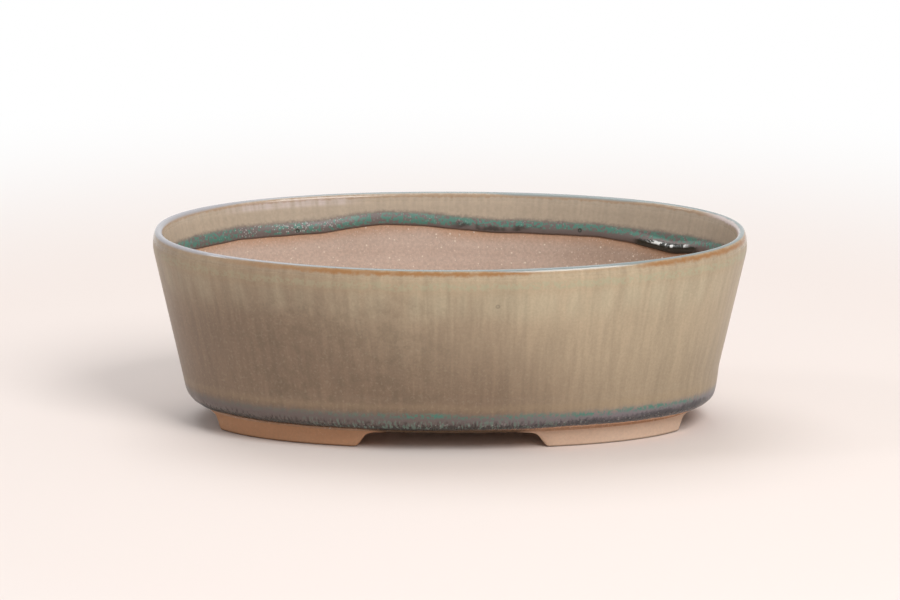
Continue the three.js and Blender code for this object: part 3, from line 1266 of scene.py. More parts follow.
@dataclass(frozen=True)
class GlazeBrush:
    """Paints a glaze: each method adds the nodes of one part of the coat."""

    finish: GlazeFinish
    shared: SharedGroups
    at: CoatReading

    def wall(self) -> Value:
        """Colour of the outer wall: paler above, with a mottled green row, and mauve brown below, streaked.

        Returns:
            The colour.
        """
        at, look, tones = self.at, self.finish.wall, self.finish
        wander = at.broad.sway(look.streak_sway) + at.cloud.sway(look.cloud_sway)
        # The darker lower tone reaches higher towards the left: painted shade on the side away from the key
        # lamp
        lean = at.along.step(look.left_lean) + at.along * look.lean_rate
        lean = lean + at.along.step(look.right_lean) + at.along.step(look.left_end_lean)
        gathered = (at.fall + wander + lean).step(look.gathering) * at.along.step(look.right_gathering)
        colour = gathered.mix(tones.upper, tones.lower)
        colour = at.along.step(look.right_shade).tint(colour)
        right = at.along.step(look.veil_right)
        veil = (at.fall + wander * look.veil_wander).band(look.veil) * at.broad.step(look.veil_streaks)
        colour = (veil * right).mix(colour, tones.green_veil)
        dashes = self.shared.draw(at.run, look.dashes).step(look.dash_shade)
        grain = at.place.noise(look.grain).step(look.grain_shade)
        fine = at.fine.step(look.fine_shade) * dashes
        for shade in (fine, at.broad.step(look.broad_shade), grain):
            colour = shade.tint(colour)
        stains = at.run.noise(look.stains).step(look.stain_patches) * at.along.band(look.stain_reach)
        colour = (stains * at.fall.step(look.stain_strength)).mix(colour, tones.olive)
        freckles = at.place.noise(look.freckles).step(look.freckle_spots) * look.freckle_strength
        colour = freckles.mix(colour, tones.green_veil)
        row = (at.fall + at.broad.sway(look.row_sway)).band(look.row) * at.patch.step(look.row_patches)
        return (row * right * look.row_strength).mix(colour, tones.green_row)

    def roll(self, colour: Feed) -> Value:
        """Lays the gathered roll over the wall: a pale line, a mauve fade, teal drops, a dark foot and
        painted glints.

        On the right, it is bluer, and its lower end is so thin that the clay shows.

        Args:
            colour: colour of the wall.

        Returns:
            The colour.
        """
        at, look, tones = self.at, self.finish.roll, self.finish
        line = at.edge + (at.fine.sway(look.fine_sway) + at.cloud.sway(look.cloud_sway))
        colour = (line.band(look.pale_line) * look.pale_line_strength).mix(colour, tones.pale_line)
        right = at.along.step(look.right)
        low = right.mix(tones.dark, tones.slate)
        ragged = at.edge + at.patch.sway(look.foot_sway)
        ragged = ragged - right * look.right_rise - at.along.step(look.right_end_rise)
        fade = at.along.step(look.bluer).mix(tones.mauve, tones.lilac)
        roll = ragged.step(look.foot).mix(fade, low)
        slow = at.run.noise(look.slow)
        blotch = slow.step(look.blotches) * right * ragged.step(look.blotch_height)
        roll = (blotch * look.blotch_strength).mix(roll, tones.slate)
        runs = self.shared.draw(at.run, look.runs)
        thick = runs.step(look.thick_runs) * at.edge.band(look.thick_height)
        roll = (thick * look.thick_strength).mix(roll, low)
        reach = at.along.band(look.pale_reach).scaled(look.pale_gain, look.pale_base)
        pale = runs.step(look.pale_runs) * at.edge.band(look.pale_height) * reach
        roll = (pale * look.pale_strength).mix(roll, tones.teal_grey)
        # Painted glints
        glints = self.shared.draw(at.place, look.glints) * at.along.step(look.glint_reach)
        glints = glints * at.edge.band(look.glint_height) * look.glint_strength
        roll = glints.mix(roll, tones.glint)
        colour = line.step(look.top).mix(colour, roll)
        drops = at.patch.step(look.drop_patches) * line.band(look.drop_height)
        drops = drops * at.along.step(look.drop_reach) * slow.step(look.drop_gaps)
        colour = (drops * at.along.step(look.drop_end)).mix(colour, tones.teal)
        bare = (at.edge + at.patch.sway(look.bare_sway)).step(look.bare_end)
        return (bare * at.along.step(look.bare_reach)).mix(colour, tones.thin_clay)

    def inside(self) -> Value:
        """Colour of the band inside the rim: tan with a painted sheen on the left, a mauve fade, teal
        patches with painted glints, and a brown edge.

        On the left, the patches are broken by painted glints; from the middle on, they keep above a dark
        foot with blobs.

        Returns:
            The colour.
        """
        at, look, tones = self.at, self.finish.inside, self.finish
        # Darker deeper down, and darker towards the right as painted shade
        deep = at.fall.step(look.depth_shade) * at.along.step(look.right_shade)
        colour = tones.band_tan
        for shade in (at.patch.step(look.patch_shade), at.fine.step(look.streak_shade), deep):
            colour = shade.tint(colour)
        left = at.along.band(look.left)
        # Painted sheen near the crest on the left
        sheen = at.fall.band(look.sheen_depth) * left * at.fine.step(look.sheen_streaks)
        colour = sheen.mix(colour, tones.sheen)
        colour = at.rows.step(look.top).mix(colour, tones.mauve)
        foot = at.along.step(look.right).scaled(look.foot_rise, look.foot_base)
        band = (at.rows - foot).step(look.teal_foot) * at.rows.step(look.teal_top)
        slow = at.run.noise(look.slow)
        chosen = at.patch - left * look.teal_left_loss + slow.sway(look.teal_sway)
        colour = (chosen.step(look.teal_patches) * band * look.teal_strength).mix(colour, tones.teal)
        blobs = slow.step(look.blobs) * at.rows.band(look.blob_height) * at.along.band(look.blob_reach)
        colour = (blobs * look.blob_strength).mix(colour, tones.dark)
        # Painted glints in clusters, most on the left
        cluster = at.run.noise(look.glint_clusters).step(look.glint_share)
        often = cluster * left.scaled(look.glint_left_gain, look.glint_base)
        colour = (self.shared.draw(at.place, look.glints) * band * often).mix(colour, tones.glint)
        return (at.rows.step(look.brown_edge) * look.brown_strength).mix(colour, tones.edge_brown)

    def drop(self) -> tuple[Value, Value]:
        """The heavy drop on the inner edge: the lens below the coloured rows, and the broken highlight
        painted on it.

        Returns:
            The mask of the drop and the mask of its painted highlight.
        """
        at, look = self.at, self.finish.drop
        inside = at.fall.math(Blend.LESS, 0.0)
        lens = at.rows.step(look.foot) * at.drip.step(look.spread)
        shine = at.run.noise(look.breaks).step(look.shine_patches) * at.edge.band(look.shine_height)
        return lens * inside, shine * at.drip.step(look.shine_spread) * inside

    def roughness(self, outside: Value, drop: Value) -> Value:
        """Roughness: satin on the wall, smoother on the roll and the lip, and glassy on the heavy drop.

        Args:
            outside: mask of the outer side.
            drop: mask of the heavy drop.

        Returns:
            The roughness.
        """
        at, look = self.at, self.finish.gloss
        roll = at.edge.step(look.roll) * outside
        lip = at.fall.math(Blend.SIZE).step(look.lip)
        smooth = roll * look.roll_loss + lip * look.lip_loss + drop * look.drop_loss
        return at.fine.scaled(look.rough_streaks, look.rough_base) - smooth

    def lip(self, colour: Feed) -> Value:
        """Lays the pale crest and the thin, broken brown lines beside it over the colour.

        Outside, the brown is faint on the left and again right of the middle, and it is widest at the right
        end.
        The pale crest is broader at the left end, where its lilac white is a painted reflection, and right
        of the middle, where widening it under the lamp's highlight makes that highlight look paler, partly
        painted highlight.
        Inside the right end, a painted highlight lies on the rounding.

        Args:
            colour: what the lip is laid over.

        Returns:
            The colour.
        """
        at, look, tones = self.at, self.finish.lip, self.finish
        line = at.fall + at.run.noise(look.thin).sway(look.thin_sway)
        strong = at.along.step(look.brown_left) * at.along.band(look.brown_gap).rest(look.brown_gap_loss)
        strong = strong * at.run.noise(look.worn).step(look.brown_worn)
        wide = at.along.step(look.wide_end).rest(look.wide_share)
        brown = (line * wide).band(look.outer) * strong
        brown = brown.math(Blend.MOST, line.band(look.halo) * look.halo_strength)
        brown = brown.math(Blend.MOST, line.band(look.inner) * look.inner_strength)
        colour = brown.mix(colour, tones.thin_brown)
        # Broader pale crest: painted reflection at the left end, partly painted highlight right of the
        # middle
        broad = at.along.step(look.broad_left) + at.along.band(look.broad_right) * look.broad_right_share
        reach = at.fall * broad.rest(look.broad_share)
        crest = reach.step(look.crest_inside) * reach.step(look.crest_outside)
        pale = at.along.step(look.crest_tones).mix(tones.crest_left, tones.crest)
        colour = crest.mix(colour, pale)
        # Painted highlight on the inner rounding at the right end
        gleam = line.band(look.gleam) * at.along.step(look.gleam_end) * look.gleam_strength
        return gleam.mix(colour, tones.sheen)

    def pits(self, colour: Feed) -> tuple[Feed, Feed]:
        """Small round pits, darkest in a ring.

        Args:
            colour: what the pits are laid over.

        Returns:
            How deep the pits are, and the colour with them.
        """
        look, place = self.finish.pit, self.at.place
        dent = 0.0
        for mark in self.finish.marks:
            feeds = {0: place, 1: mark.place}
            away = place.recipe.value("ShaderNodeVectorMath", feeds, "Value", operation="DISTANCE")
            away = away * (1.0 / mark.radius)
            ring = away.step(look.rim) * away.step(look.middle)
            colour = (ring * mark.depth).mix(colour, self.finish.dark)
            dent = away.step(look.hollow) * (look.hollow_depth * mark.depth) + dent
        return dent, colour


# Sub-assemblies


@dataclass
class ClayBody:
    """Wall, floor slab and the coil worked into the corner between them."""

    section: ClaySection
    plan: OvalPlan
    line: GlazeLine
    turns: int = 384
    knee_rings: int = 10
    lip_rings: tuple[int, int] = (12, 10)
    inner_rings: int = 74
    strip_rings: int = 4
    floor_rings: int = 6
    hole_rings: int = 7
    hole_sides: int = 64
    coil_rings: int = 16
    wall_crease: float = math.radians(40)
    floor_crease: float = math.radians(35)
    coil_crease: float = math.radians(50)
    mitre: float = 0.5
    mitre_gap: float = 0.2 * MM
    floor_shrink: tuple[float, float] = (0.15, 0.9)
    drain_radius: float = 11.0 * MM
    drain_spacing: float = 84.0 * MM
    wire_radius: float = 3.25 * MM
    wire_along: float = 126.0 * MM
    wire_across: float = 30.0 * MM
    hole_rounding: float = 0.8 * MM
    hole_over: float = 1.0 * MM
    coil_size: float = 5.0 * MM
    coil_room: float = 0.4 * MM
    seam: float = 0.02 * MM
    wiping: tuple[tuple[float, float, int], ...] = ((7.3, 0.05, 2), (11.9, 0.07, -1), (19.0, 0.09, 1))
    wipe_start: tuple[float, float] = (18.0 * MM, 26.0 * MM)
    wipe_stop: float = 8.0 * MM
    far_from_glaze: float = 60.0
    flashed_ring: tuple[float, float] = (0.86, 0.96)
    # Where the floor's rim is darkened as painted shade under the roll: ring, height, length along the pot
    # and strength
    soaked_ring: tuple[float, float] = (0.9, 0.97)
    soaked_height: tuple[float, float] = (9.0 * MM, 10.0 * MM)
    soaked_length: tuple[float, float] = (26.0 * MM, 36.0 * MM)
    soaked_share: float = 0.85
    coil_presses: tuple[Wave, ...] = (
        Wave(9, 0.16 * MM, 11),
        Wave(14, 0.14 * MM, 3),
        Wave(31, 0.08 * MM, 7),
    )

    def build(self, material: bpy.types.Material) -> None:
        """Makes the three pieces and dresses them in bare clay.

        Args:
            material: the bare clay.
        """
        settle(self.wall(), "wall", material)
        settle(self.floor(), "floor_slab", material)
        settle(self.coil(), "seam_coil", material)

    def wall(self) -> bpy.types.Object:
        """The wall: up the knee and the outer face, over the lip and down the wiped inner face.

        The inner face is moved along its normal by low sines of the depth and the angle, which are nothing
        near the glaze and at the floor. Each has a pitch and a height in millimetres, and its lobes.

        Returns:
            The piece.
        """
        section = self.section
        knee = quadratic(*section.knee, np.linspace(self.mitre, 0.0, self.knee_rings))
        lip = section.lip_points(section.lip_facings(*self.lip_rings))
        length = float(np.hypot(*(section.inner_top - section.inside_corner)))
        depth = np.linspace(0.0, length, self.inner_rings)[1:]
        loop = np.concatenate([knee, lip, section.inner_points(depth)])
        angle = turn_angles(self.turns)[:, None]
        wipes = sum(
            size * MM * np.sin(2 * math.pi * depth * PER_MM / pitch + lobes * angle)
            for pitch, size, lobes in self.wiping
        )
        fade = soft_step(depth, *self.wipe_start) * soft_step(length - depth, 0.0, self.wipe_stop)
        shape = np.broadcast_to(loop, (self.turns, *loop.shape)).copy()
        shape[:, -len(depth):] += (wipes * fade)[..., None] * heading(section.inner_facing)
        index = numbered(self.turns, len(loop))
        piece = new_piece("fired_wall", self.plan.carry(shape, angle), [quads(index, True, True)])
        bare = np.zeros((self.turns, len(loop)))
        bare[:, -len(depth):] = np.maximum(0.0, depth - self.line.at(angle)) * PER_MM
        store(piece, "bare", bare)
        piece.data.set_sharp_from_angle(angle=self.wall_crease)
        return piece

    def floor(self) -> bpy.types.Object:
        """The floor slab: rings that shrink to the middle below and above, bare edge, mitre and holes.

        The mitre stands back from the wall's end by its gap.

        Returns:
            The piece.
        """
        section = self.section
        knee = quadratic(*section.knee, np.linspace(1.0, self.mitre, self.knee_rings))
        inward = np.array([-self.mitre_gap, 0.0])
        strip = np.linspace([section.foot_reach, section.foot_height], knee[0], self.strip_rings)[:-1]
        side = np.concatenate([strip, knee[:-1], knee[-1:] + inward, [section.inside_corner + inward]])
        angle = turn_angles(self.turns)[:, None]
        edge = self.plan.carry(np.broadcast_to(side, (self.turns, *side.shape)), angle)
        shrink = np.linspace(*self.floor_shrink, self.floor_rings)
        ratio = np.stack([shrink, shrink, np.ones_like(shrink)], axis=-1)
        grid = np.concatenate([edge[:, :1] * ratio, edge, edge[:, -1:] * ratio[::-1]], axis=1)
        index = numbered(*grid.shape[:2])
        hubs = np.array([[0.0, 0.0, section.foot_height], [0.0, 0.0, section.floor_top]])
        piece = new_piece("fired_floor", np.concatenate([grid.reshape(-1, 3), hubs]), capped(index))
        self._cut_holes(piece)
        # The second mask paints shade on the rim over the long windows, under the roll
        bare, stain = self._rim_marks(piece)
        store(piece, "bare", bare)
        store(piece, "stain", stain)
        piece.data.set_sharp_from_angle(angle=self.floor_crease)
        return piece

    def _rim_marks(self, piece: bpy.types.Object) -> tuple[np.ndarray, np.ndarray]:
        """Millimetres from the glaze for the floor's vertices, and a mask of painted shade on the rim.

        A vertex is on the rim where (x / reach) and (y / sideways reach), each to the oval's power, add up
        to 1. The rim is at the glaze, and over the long windows, between the feet, it gets painted shade
        from the roll above.

        Args:
            piece: the floor slab, with its holes.

        Returns:
            One number for each vertex, twice.
        """
        places = np.empty(3 * len(piece.data.vertices))
        piece.data.vertices.foreach_get("co", places)
        places = places.reshape(-1, 3)
        reach = self.section.foot_reach
        half = np.array([reach, reach - (self.plan.half_length - self.plan.half_width)])
        ring = ((np.abs(places[:, :2]) / half) ** self.plan.power).sum(axis=-1)
        bare = self.far_from_glaze * (1 - soft_step(ring, *self.flashed_ring))
        low = 1 - soft_step(places[:, 2], *self.soaked_height)
        between = 1 - soft_step(np.abs(places[:, 0]), *self.soaked_length)
        return bare, self.soaked_share * soft_step(ring, *self.soaked_ring) * low * between

    def _cut_holes(self, piece: bpy.types.Object) -> None:
        """Cuts two drainage holes and four wire holes with cutters that flare into the round of each rim.

        Args:
            piece: the floor slab.
        """
        half_along, half_across = self.wire_along / 2, self.wire_across / 2
        cutters = [self._cutter(self.drain_radius, end * self.drain_spacing / 2, 0.0) for end in (-1, 1)]
        for end in (-1, 1):
            for side in (-1, 1):
                cutters.append(self._cutter(self.wire_radius, end * half_along, side * half_across))
        for cutter in cutters:
            hole = piece.modifiers.new(cutter.name, "BOOLEAN")
            hole.operation = "DIFFERENCE"
            hole.solver = "EXACT"
            hole.object = cutter
        cut = bpy.data.meshes.new_from_object(piece.evaluated_get(bpy.context.evaluated_depsgraph_get()))
        piece.modifiers.clear()
        piece.data = cut
        for cutter in cutters:
            bpy.data.objects.remove(cutter)

    def _cutter(self, radius: float, x: float, y: float) -> bpy.types.Object:
        """A round cutter whose radius grows near the floor's faces by the quarter circle of the rounding.

        Args:
            radius: radius of the hole.
            x: place along the pot.
            y: place across it.

        Returns:
            The cutter.
        """
        low, high = self.section.foot_height, self.section.floor_top
        rounding = self.hole_rounding
        lean = np.linspace(0.0, math.pi / 2, self.hole_rings)
        flare = rounding * (1 - np.sin(lean))
        rise = rounding * (1 - np.cos(lean))
        bottom, top = low - self.hole_over, high + self.hole_over
        reach = np.concatenate([[flare[0]], flare, flare[::-1], [flare[0]]]) + radius
        height = np.concatenate([[bottom], low + rise, high - rise[::-1], [top]])
        angle = turn_angles(self.hole_sides)[:, None]
        heights = np.broadcast_to(height, (self.hole_sides, len(height)))
        points = np.stack([x + reach * np.cos(angle), y + reach * np.sin(angle), heights], axis=-1)
        index = numbered(*points.shape[:2])
        hubs = np.array([[x, y, bottom], [x, y, top]])
        return new_piece("hole_cutter", np.concatenate([points.reshape(-1, 3), hubs]), capped(index))

    def coil(self) -> bpy.types.Object:
        """The coil: a hollow fillet in the corner, whose size swells a little where it was pressed in.

        Returns:
            The piece.
        """
        section = self.section
        slope = heading(section.inner_slope)
        inward = np.array([-1.0, 0.0])
        corner = section.inside_corner + (inward + slope) * self.seam / math.sin(section.inner_slope)
        angle = turn_angles(self.turns)
        size = (self.coil_size - self.coil_room + swell(self.coil_presses, angle))[:, None]
        up_wall = (corner + size * slope)[:, None]
        on_floor = (corner + size * inward)[:, None]
        hollow = (up_wall + on_floor + corner) / 3
        curve = quadratic(up_wall, hollow, on_floor, np.linspace(0.0, 1.0, self.coil_rings))
        loop = np.concatenate([np.broadcast_to(corner, (self.turns, 1, 2)), curve], axis=1)
        index = numbered(*loop.shape[:2])
        piece = new_piece("pressed_coil", self.plan.carry(loop, angle[:, None]), [quads(index, True, True)])
        store(piece, "bare", np.full(index.size, self.far_from_glaze))
        piece.data.set_sharp_from_angle(angle=self.coil_crease)
        return piece


@dataclass
class CutFeet:
    """Four feet cut from one ring, parted by flared windows with rounded upper corners."""

    section: ClaySection
    plan: OvalPlan
    taper: float = 0.6 * MM
    top_width: float = 12.0 * MM
    sole_width: float = 10.0 * MM
    sole_rounding: float = 0.9 * MM
    side_window: tuple[float, float] = (66.6 * MM, 76.2 * MM)
    end_window: tuple[float, float] = (32.5 * MM, 37.4 * MM)
    corner_rise: float = 2.0 * MM
    corner_share: float = 0.2
    window_shift: float = 0.9 * MM
    crown_drop: float = 0.2 * MM
    edge_rounding: float = 1.5 * MM
    inner_lift: float = 0.5 * MM
    inner_inset: float = 0.4 * MM
    arc_length: float = 70.0 * MM
    hub_drop: float = 0.01 * MM
    sole_rings: int = 7
    top_rings: int = 7
    climb_rings: int = 25
    end_rings: int = 6
    arc_rings: int = 40
    face_rings: int = 12
    ease: float = 1.6
    crease: float = math.radians(50)

    def build(self, material: bpy.types.Material) -> None:
        """Makes the feet and dresses them in foot clay."""
        for place in FootPlace:
            settle(self.foot(place), place.node, material)

    def half_window(self, window: tuple[float, float], height: np.ndarray) -> np.ndarray:
        """Half width of a window by height: straight flared sides, then a quadratic upper corner.

        Above the spring line, the curve's own share t is 1 less the root of (crown - height) over the
        corner's rise. The corner reaches in by its share of the half width at the sole.

        Args:
            window: width at the floor's lower face and at the sole.
            height: heights above the ground.

        Returns:
            The half widths.
        """
        top, bottom = window
        slope = (top - bottom) / (2 * self.section.foot_height)
        crown = self.section.foot_height - self.crown_drop
        spring = crown - self.corner_rise
        straight = bottom / 2 + slope * height
        t = 1 - np.sqrt(np.clip((crown - height) / self.corner_rise, 0.0, 1.0))
        at_spring = bottom / 2 + slope * spring
        at_crown = bottom / 2 + slope * crown
        last = at_crown - self.corner_share * bottom / 2
        curved = (1 - t) ** 2 * at_spring + 2 * t * (1 - t) * at_crown + t**2 * last
        return np.where(height > spring, curved, straight)

    def angles(self, loop: np.ndarray, share: np.ndarray, shift: float) -> np.ndarray:
        """Angles along the foot for section points: from the end window's face to the side window's face.

        A face lies where the ring's width or length equals half the window: the sine of the angle is (half
        the end window / sideways reach) to half the oval's power, and the cosine is the same for the side
        window.

        Args:
            loop: reach and height of the section points.
            share: how far along the foot each is, from 0 to 1.
            shift: how much further out the side window's face stands than half the window.

        Returns:
            The angles, in the first quarter.
        """
        reach, height = loop[..., 0], loop[..., 1]
        sideways = reach - (self.plan.half_length - self.plan.half_width)
        power = self.plan.power / 2
        first = np.arcsin((self.half_window(self.end_window, height) / sideways) ** power)
        last = np.arccos(((self.half_window(self.side_window, height) + shift) / reach) ** power)
        return first + (last - first) * share

    def loop(self) -> np.ndarray:
        """The foot's section: round the sole's outer edge, up the outer face, along the top, down inside.

        Rings crowd towards the top: 1 less (1 less their even share) to the easing power.

        Returns:
            Reach and height of its points.
        """
        top, reach = self.section.foot_height, self.section.foot_reach
        sole = reach - self.taper
        low = np.array([sole - self.sole_rounding, 0.0])
        corner, rim = np.array([sole, 0.0]), np.array([sole, self.sole_rounding])
        rounding = quadratic(low, corner, rim, np.linspace(0.0, 1.0, self.sole_rings))
        climb = 1 - (1 - np.linspace(0.0, 1.0, self.climb_rings)[1:, None]) ** self.ease
        outer = rounding[-1] + climb * (np.array([reach, top]) - rounding[-1])
        over = np.linspace([reach, top], [reach - self.top_width, top], self.top_rings)[1:]
        inner_sole = np.array([sole - self.sole_width, 0.0])
        inner = over[-1] + (1 - climb[-2::-1]) * (inner_sole + [0.0, self.inner_lift] - over[-1])
        under = np.linspace(inner_sole + [self.inner_inset, 0.0], low, self.sole_rings)[:-1]
        return np.concatenate([rounding, outer, over, inner, under])

    def foot(self, place: FootPlace) -> bpy.types.Object:
        """One foot: the section carried along its arc, its ends rounded off and closed by the cut faces.

        Near an end the section shrinks towards the middle of its top by the quarter circle of the edge's
        rounding, and the cut face is the same section shrunk on to that point.

        Args:
            place: which foot.

        Returns:
            The piece.
        """
        loop = self.loop()
        anchor = np.array([loop[:, 0].mean(), self.section.foot_height])
        quarter = np.linspace(0.0, math.pi / 2, self.end_rings)
        off = self.edge_rounding * (1 - np.cos(quarter)) / self.arc_length
        cut = self.edge_rounding * (1 - np.sin(quarter))
        arc = np.linspace(off[-1], 1 - off[-1], self.arc_rings)[1:-1]
        share = np.concatenate([off, arc, 1 - off[::-1]])
        inset = np.concatenate([cut, np.zeros_like(arc), cut[::-1]])
        keep = 1 - inset / (self.top_width / 2)
        face_keep = keep[0] * np.linspace(0.0, 1.0, self.face_rings)[1:-1] ** self.ease
        rows = np.concatenate([face_keep, keep, face_keep[::-1]])
        shares = np.concatenate([np.zeros_like(face_keep), share, np.ones_like(face_keep)])
        shape = anchor + (loop[None] - anchor) * rows[:, None, None]
        shift = self.window_shift * place.value[0]
        points = self.plan.carry(shape, self.angles(shape, shares[:, None], shift))
        ends = np.array([anchor - [0.0, self.hub_drop]] * 2)
        hubs = self.plan.carry(ends, self.angles(ends, np.array([0.0, 1.0]), shift))
        points = np.concatenate([points.reshape(-1, 3), hubs])
        points = points * np.array([*place.value, 1])
        index = numbered(len(rows), len(loop))
        faces = [quads(index, False, True), fan(index[0, ::-1], index.size), fan(index[-1], index.size + 1)]
        if place.value[0] * place.value[1] < 0:
            faces = [block[:, ::-1] for block in faces]
        piece = new_piece(f"cut_{place.node}", points, faces)
        glaze_end = self.section.foot_height + self.section.bare_strip
        store(piece, "bare", np.maximum(0.0, glaze_end - points[:, 2]) * PER_MM)
        piece.data.set_sharp_from_angle(angle=self.crease)
        return piece


@dataclass(frozen=True)
class PitPlaces:
    """Where the glaze has its pits: a faint ring on the front wall, and dark ones inside the back.

    Each place is an angle in degrees, with a height on the wall or a depth below the inner face's top.
    """

    radius: float = 1.1 * MM
    front: tuple[float, float] = (-81.9, 63.9 * MM)
    front_depth: float = 0.3
    inside: tuple[tuple[float, float], ...] = ((122.0, 12.4 * MM), (63.5, 12.6 * MM))
    inside_depth: float = 0.9

    def marks(self, section: ClaySection, plan: OvalPlan) -> tuple[GlazeMark, ...]:
        """Puts the pits on the coat's skin.

        Args:
            section: the clay's section.
            plan: the pot's oval.

        Returns:
            The marks.
        """
        angle, height = self.front
        point = section.outer_face(height) + section.skin * heading(-section.wall_lean)
        marks = [GlazeMark(tuple(plan.carry(point, np.radians(angle))), self.radius, self.front_depth)]
        for angle, depth in self.inside:
            point = section.inner_points(depth) + section.skin * heading(section.inner_facing)
            place = tuple(plan.carry(point, np.radians(angle)))
            marks.append(GlazeMark(place, self.radius, self.inside_depth))
        return tuple(marks)


@dataclass(frozen=True)
class CoatLine:
    """The clay's points under the coat, from the shoulder over the lip to the glaze's inner edge.

    facing is the angle that each point faces. knee_share is the place of each knee point on its curve, from
    1 at the shoulder to 0. low_count is the number of points from there to the top of the roll, and depth
    is how far each inner point lies below the top of the inner face.
    """

    points: np.ndarray
    facing: np.ndarray
    knee_share: np.ndarray
    low_count: int
    depth: np.ndarray

    @property
    def inside(self) -> int:
        """Number of the first point on the inner face."""
        return len(self.points) - len(self.depth)

    @property
    def crest(self) -> int:
        """Number of the point that faces most nearly up."""
        return int(np.argmin(np.abs(self.facing - math.pi / 2)))


@dataclass
class GlazeCoat:
    """The fired glaze: from the wavy line inside the rim, over the lip, down to the roll above the feet."""

    section: ClaySection
    plan: OvalPlan
    line: GlazeLine
    turns: int = 384
    knee_rings: int = 30
    knee_ease: float = 1.4
    low_rings: int = 16
    high_rings: int = 40
    lip_rings: tuple[int, int] = (22, 16)
    inner_rings: int = 40
    inner_ease: float = 1.3
    back_step: int = 4
    crease: float = math.radians(75)
    slip: float = 0.25 * MM
    film: float = 0.03 * MM
    thickness: float = 0.5 * MM
    roll: float = 1.1 * MM
    roll_height: float = 9.0 * MM
    knee_part: float = 2.0 / 3.0
    bead: float = 0.3 * MM
    bead_height: float = 5.0 * MM
    end_rounding: float = 0.6 * MM
    thin_end: Sag = Sag(4.6 * MM, 304, 34)
    slack: tuple[Sag, ...] = (Sag(0.85, 186, 34), Sag(0.6, 302, 26))
    heavy_bead: float = 1.1 * MM
    heavy_sag: Sag = Sag(1.0, 38, 10)
    run_reach: float = 112.0 * MM
    wave_foot: float = 6.0 * MM
    wave_lip: tuple[float, float] = (6.0 * MM, 18.0 * MM)
    roll_waves: tuple[Wave, ...] = (
        Wave(5, 0.06, 20),
        Wave(13, 0.07, 7),
        Wave(29, 0.05, 3),
        Wave(47, 0.04, 1),
    )
    bead_waves: tuple[Wave, ...] = (Wave(9, 0.12, 31), Wave(21, 0.14, 9), Wave(43, 0.1, 2))
    wall_waves: tuple[Wave, ...] = (
        Wave(4, 0.05 * MM, 14),
        Wave(9, 0.04 * MM, 3),
        Wave(17, 0.03 * MM, 10),
    )

    def build(self, material: bpy.types.Material) -> None:
        """Makes the coat and dresses it in glaze."""
        settle(self.coat(), "glaze_coat", material)

    def clay_line(self) -> CoatLine:
        """The clay under the coat. Points crowd towards its ends: shares are raised to an easing power.

        Returns:
            The line.
        """
        section = self.section
        knee_share = 1 - np.linspace(0.0, 1.0, self.knee_rings) ** self.knee_ease
        start = section.knee[0]
        roll_top = section.outer_face(float(start[1]) + self.roll_height)
        low_face = np.linspace(start, roll_top, self.low_rings)[1:]
        high_face = np.linspace(roll_top, section.outer_top, self.high_rings)[1:-1]
        lip_facing = section.lip_facings(*self.lip_rings)
        even = np.linspace(0.0, 1.0, self.inner_rings)[1:]
        depth = self.line.depth * (1 - (1 - even) ** self.inner_ease)
        points = np.concatenate([
            quadratic(*section.knee, knee_share),
            low_face,
            high_face,
            section.lip_points(lip_facing),
            section.inner_points(depth),
        ])
        facing = np.concatenate([
            quadratic_facing(*section.knee, knee_share),
            np.full(len(low_face) + len(high_face), -section.wall_lean),
            lip_facing,
            np.full(len(depth), section.inner_facing),
        ])
        return CoatLine(points, facing, knee_share, len(low_face), depth)

    def roll_lift(self, under: CoatLine, angle: np.ndarray) -> np.ndarray:
        """Extra thickness of the roll: half a sine from the shoulder to the roll's top, times its waves.

        At the left end and on the right of the front, the roll is slacker.

        Args:
            under: the clay under the coat.
            angle: angles round the pot.

        Returns:
            The thickness, angles by points.
        """
        low = len(under.knee_share)
        top = low + under.low_count
        share = np.full(len(under.points), 1.0)
        share[:low] = self.knee_part * (1 - under.knee_share)
        face_share = np.linspace(0.0, 1.0, under.low_count + 1)[1:]
        share[low:top] = self.knee_part + (1 - self.knee_part) * face_share
        strength = 1 + swell(self.roll_waves, angle) - sagging(self.slack, angle)
        return self.roll * np.sin(math.pi * share) * strength

    def bead_lift(self, under: CoatLine, edge: np.ndarray, angle: np.ndarray) -> np.ndarray:
        """Extra thickness of the bead inside: half a sine over its height, heaviest at the drop.

        Args:
            under: the clay under the coat.
            edge: distance to the nearest end of the coat.
            angle: angles round the pot.

        Returns:
            The thickness, angles by points.
        """
        share = np.zeros_like(edge)
        share[:, under.inside :] = np.clip(1 - edge[:, under.inside :] / self.bead_height, 0.0, 1.0)
        waves = self.bead * (1 + swell(self.bead_waves, angle))
        thick = waves + self.heavy_bead * self.heavy_sag.share(angle)
        return np.sin(math.pi * share) * thick

    def lift(self, under: CoatLine, climb: np.ndarray, edge: np.ndarray, angle: np.ndarray) -> np.ndarray:
        """How far the coat's outer side stands off the clay.

        It is the plain coat plus the roll, the bead and the wall's waves, times a quarter circle that rounds
        off both ends. On the right of the front, the lower end thins out over a longer way.

        Args:
            under: the clay under the coat.
            climb: way along the coat from its lower end.
            edge: distance to the nearest end of the coat.
            angle: angles round the pot.

        Returns:
            The distances, angles by points.
        """
        from_crest = climb[under.crest] - climb
        on_wall = soft_step(climb, 0.0, self.wave_foot) * soft_step(from_crest, *self.wave_lip)
        uneven = on_wall * swell(self.wall_waves, angle)
        roll = self.roll_lift(under, angle)
        bead = self.bead_lift(under, edge, angle)
        full = self.slip + self.thickness + roll + bead + uneven
        rounding = np.full_like(edge, self.end_rounding)
        rounding[:, : under.crest] += self.thin_end.drop * self.thin_end.share(angle)
        near_end = np.clip(edge / rounding, 0.0, 1.0)
        return self.film + (full - self.film) * np.sqrt(1 - (1 - near_end) ** 2)

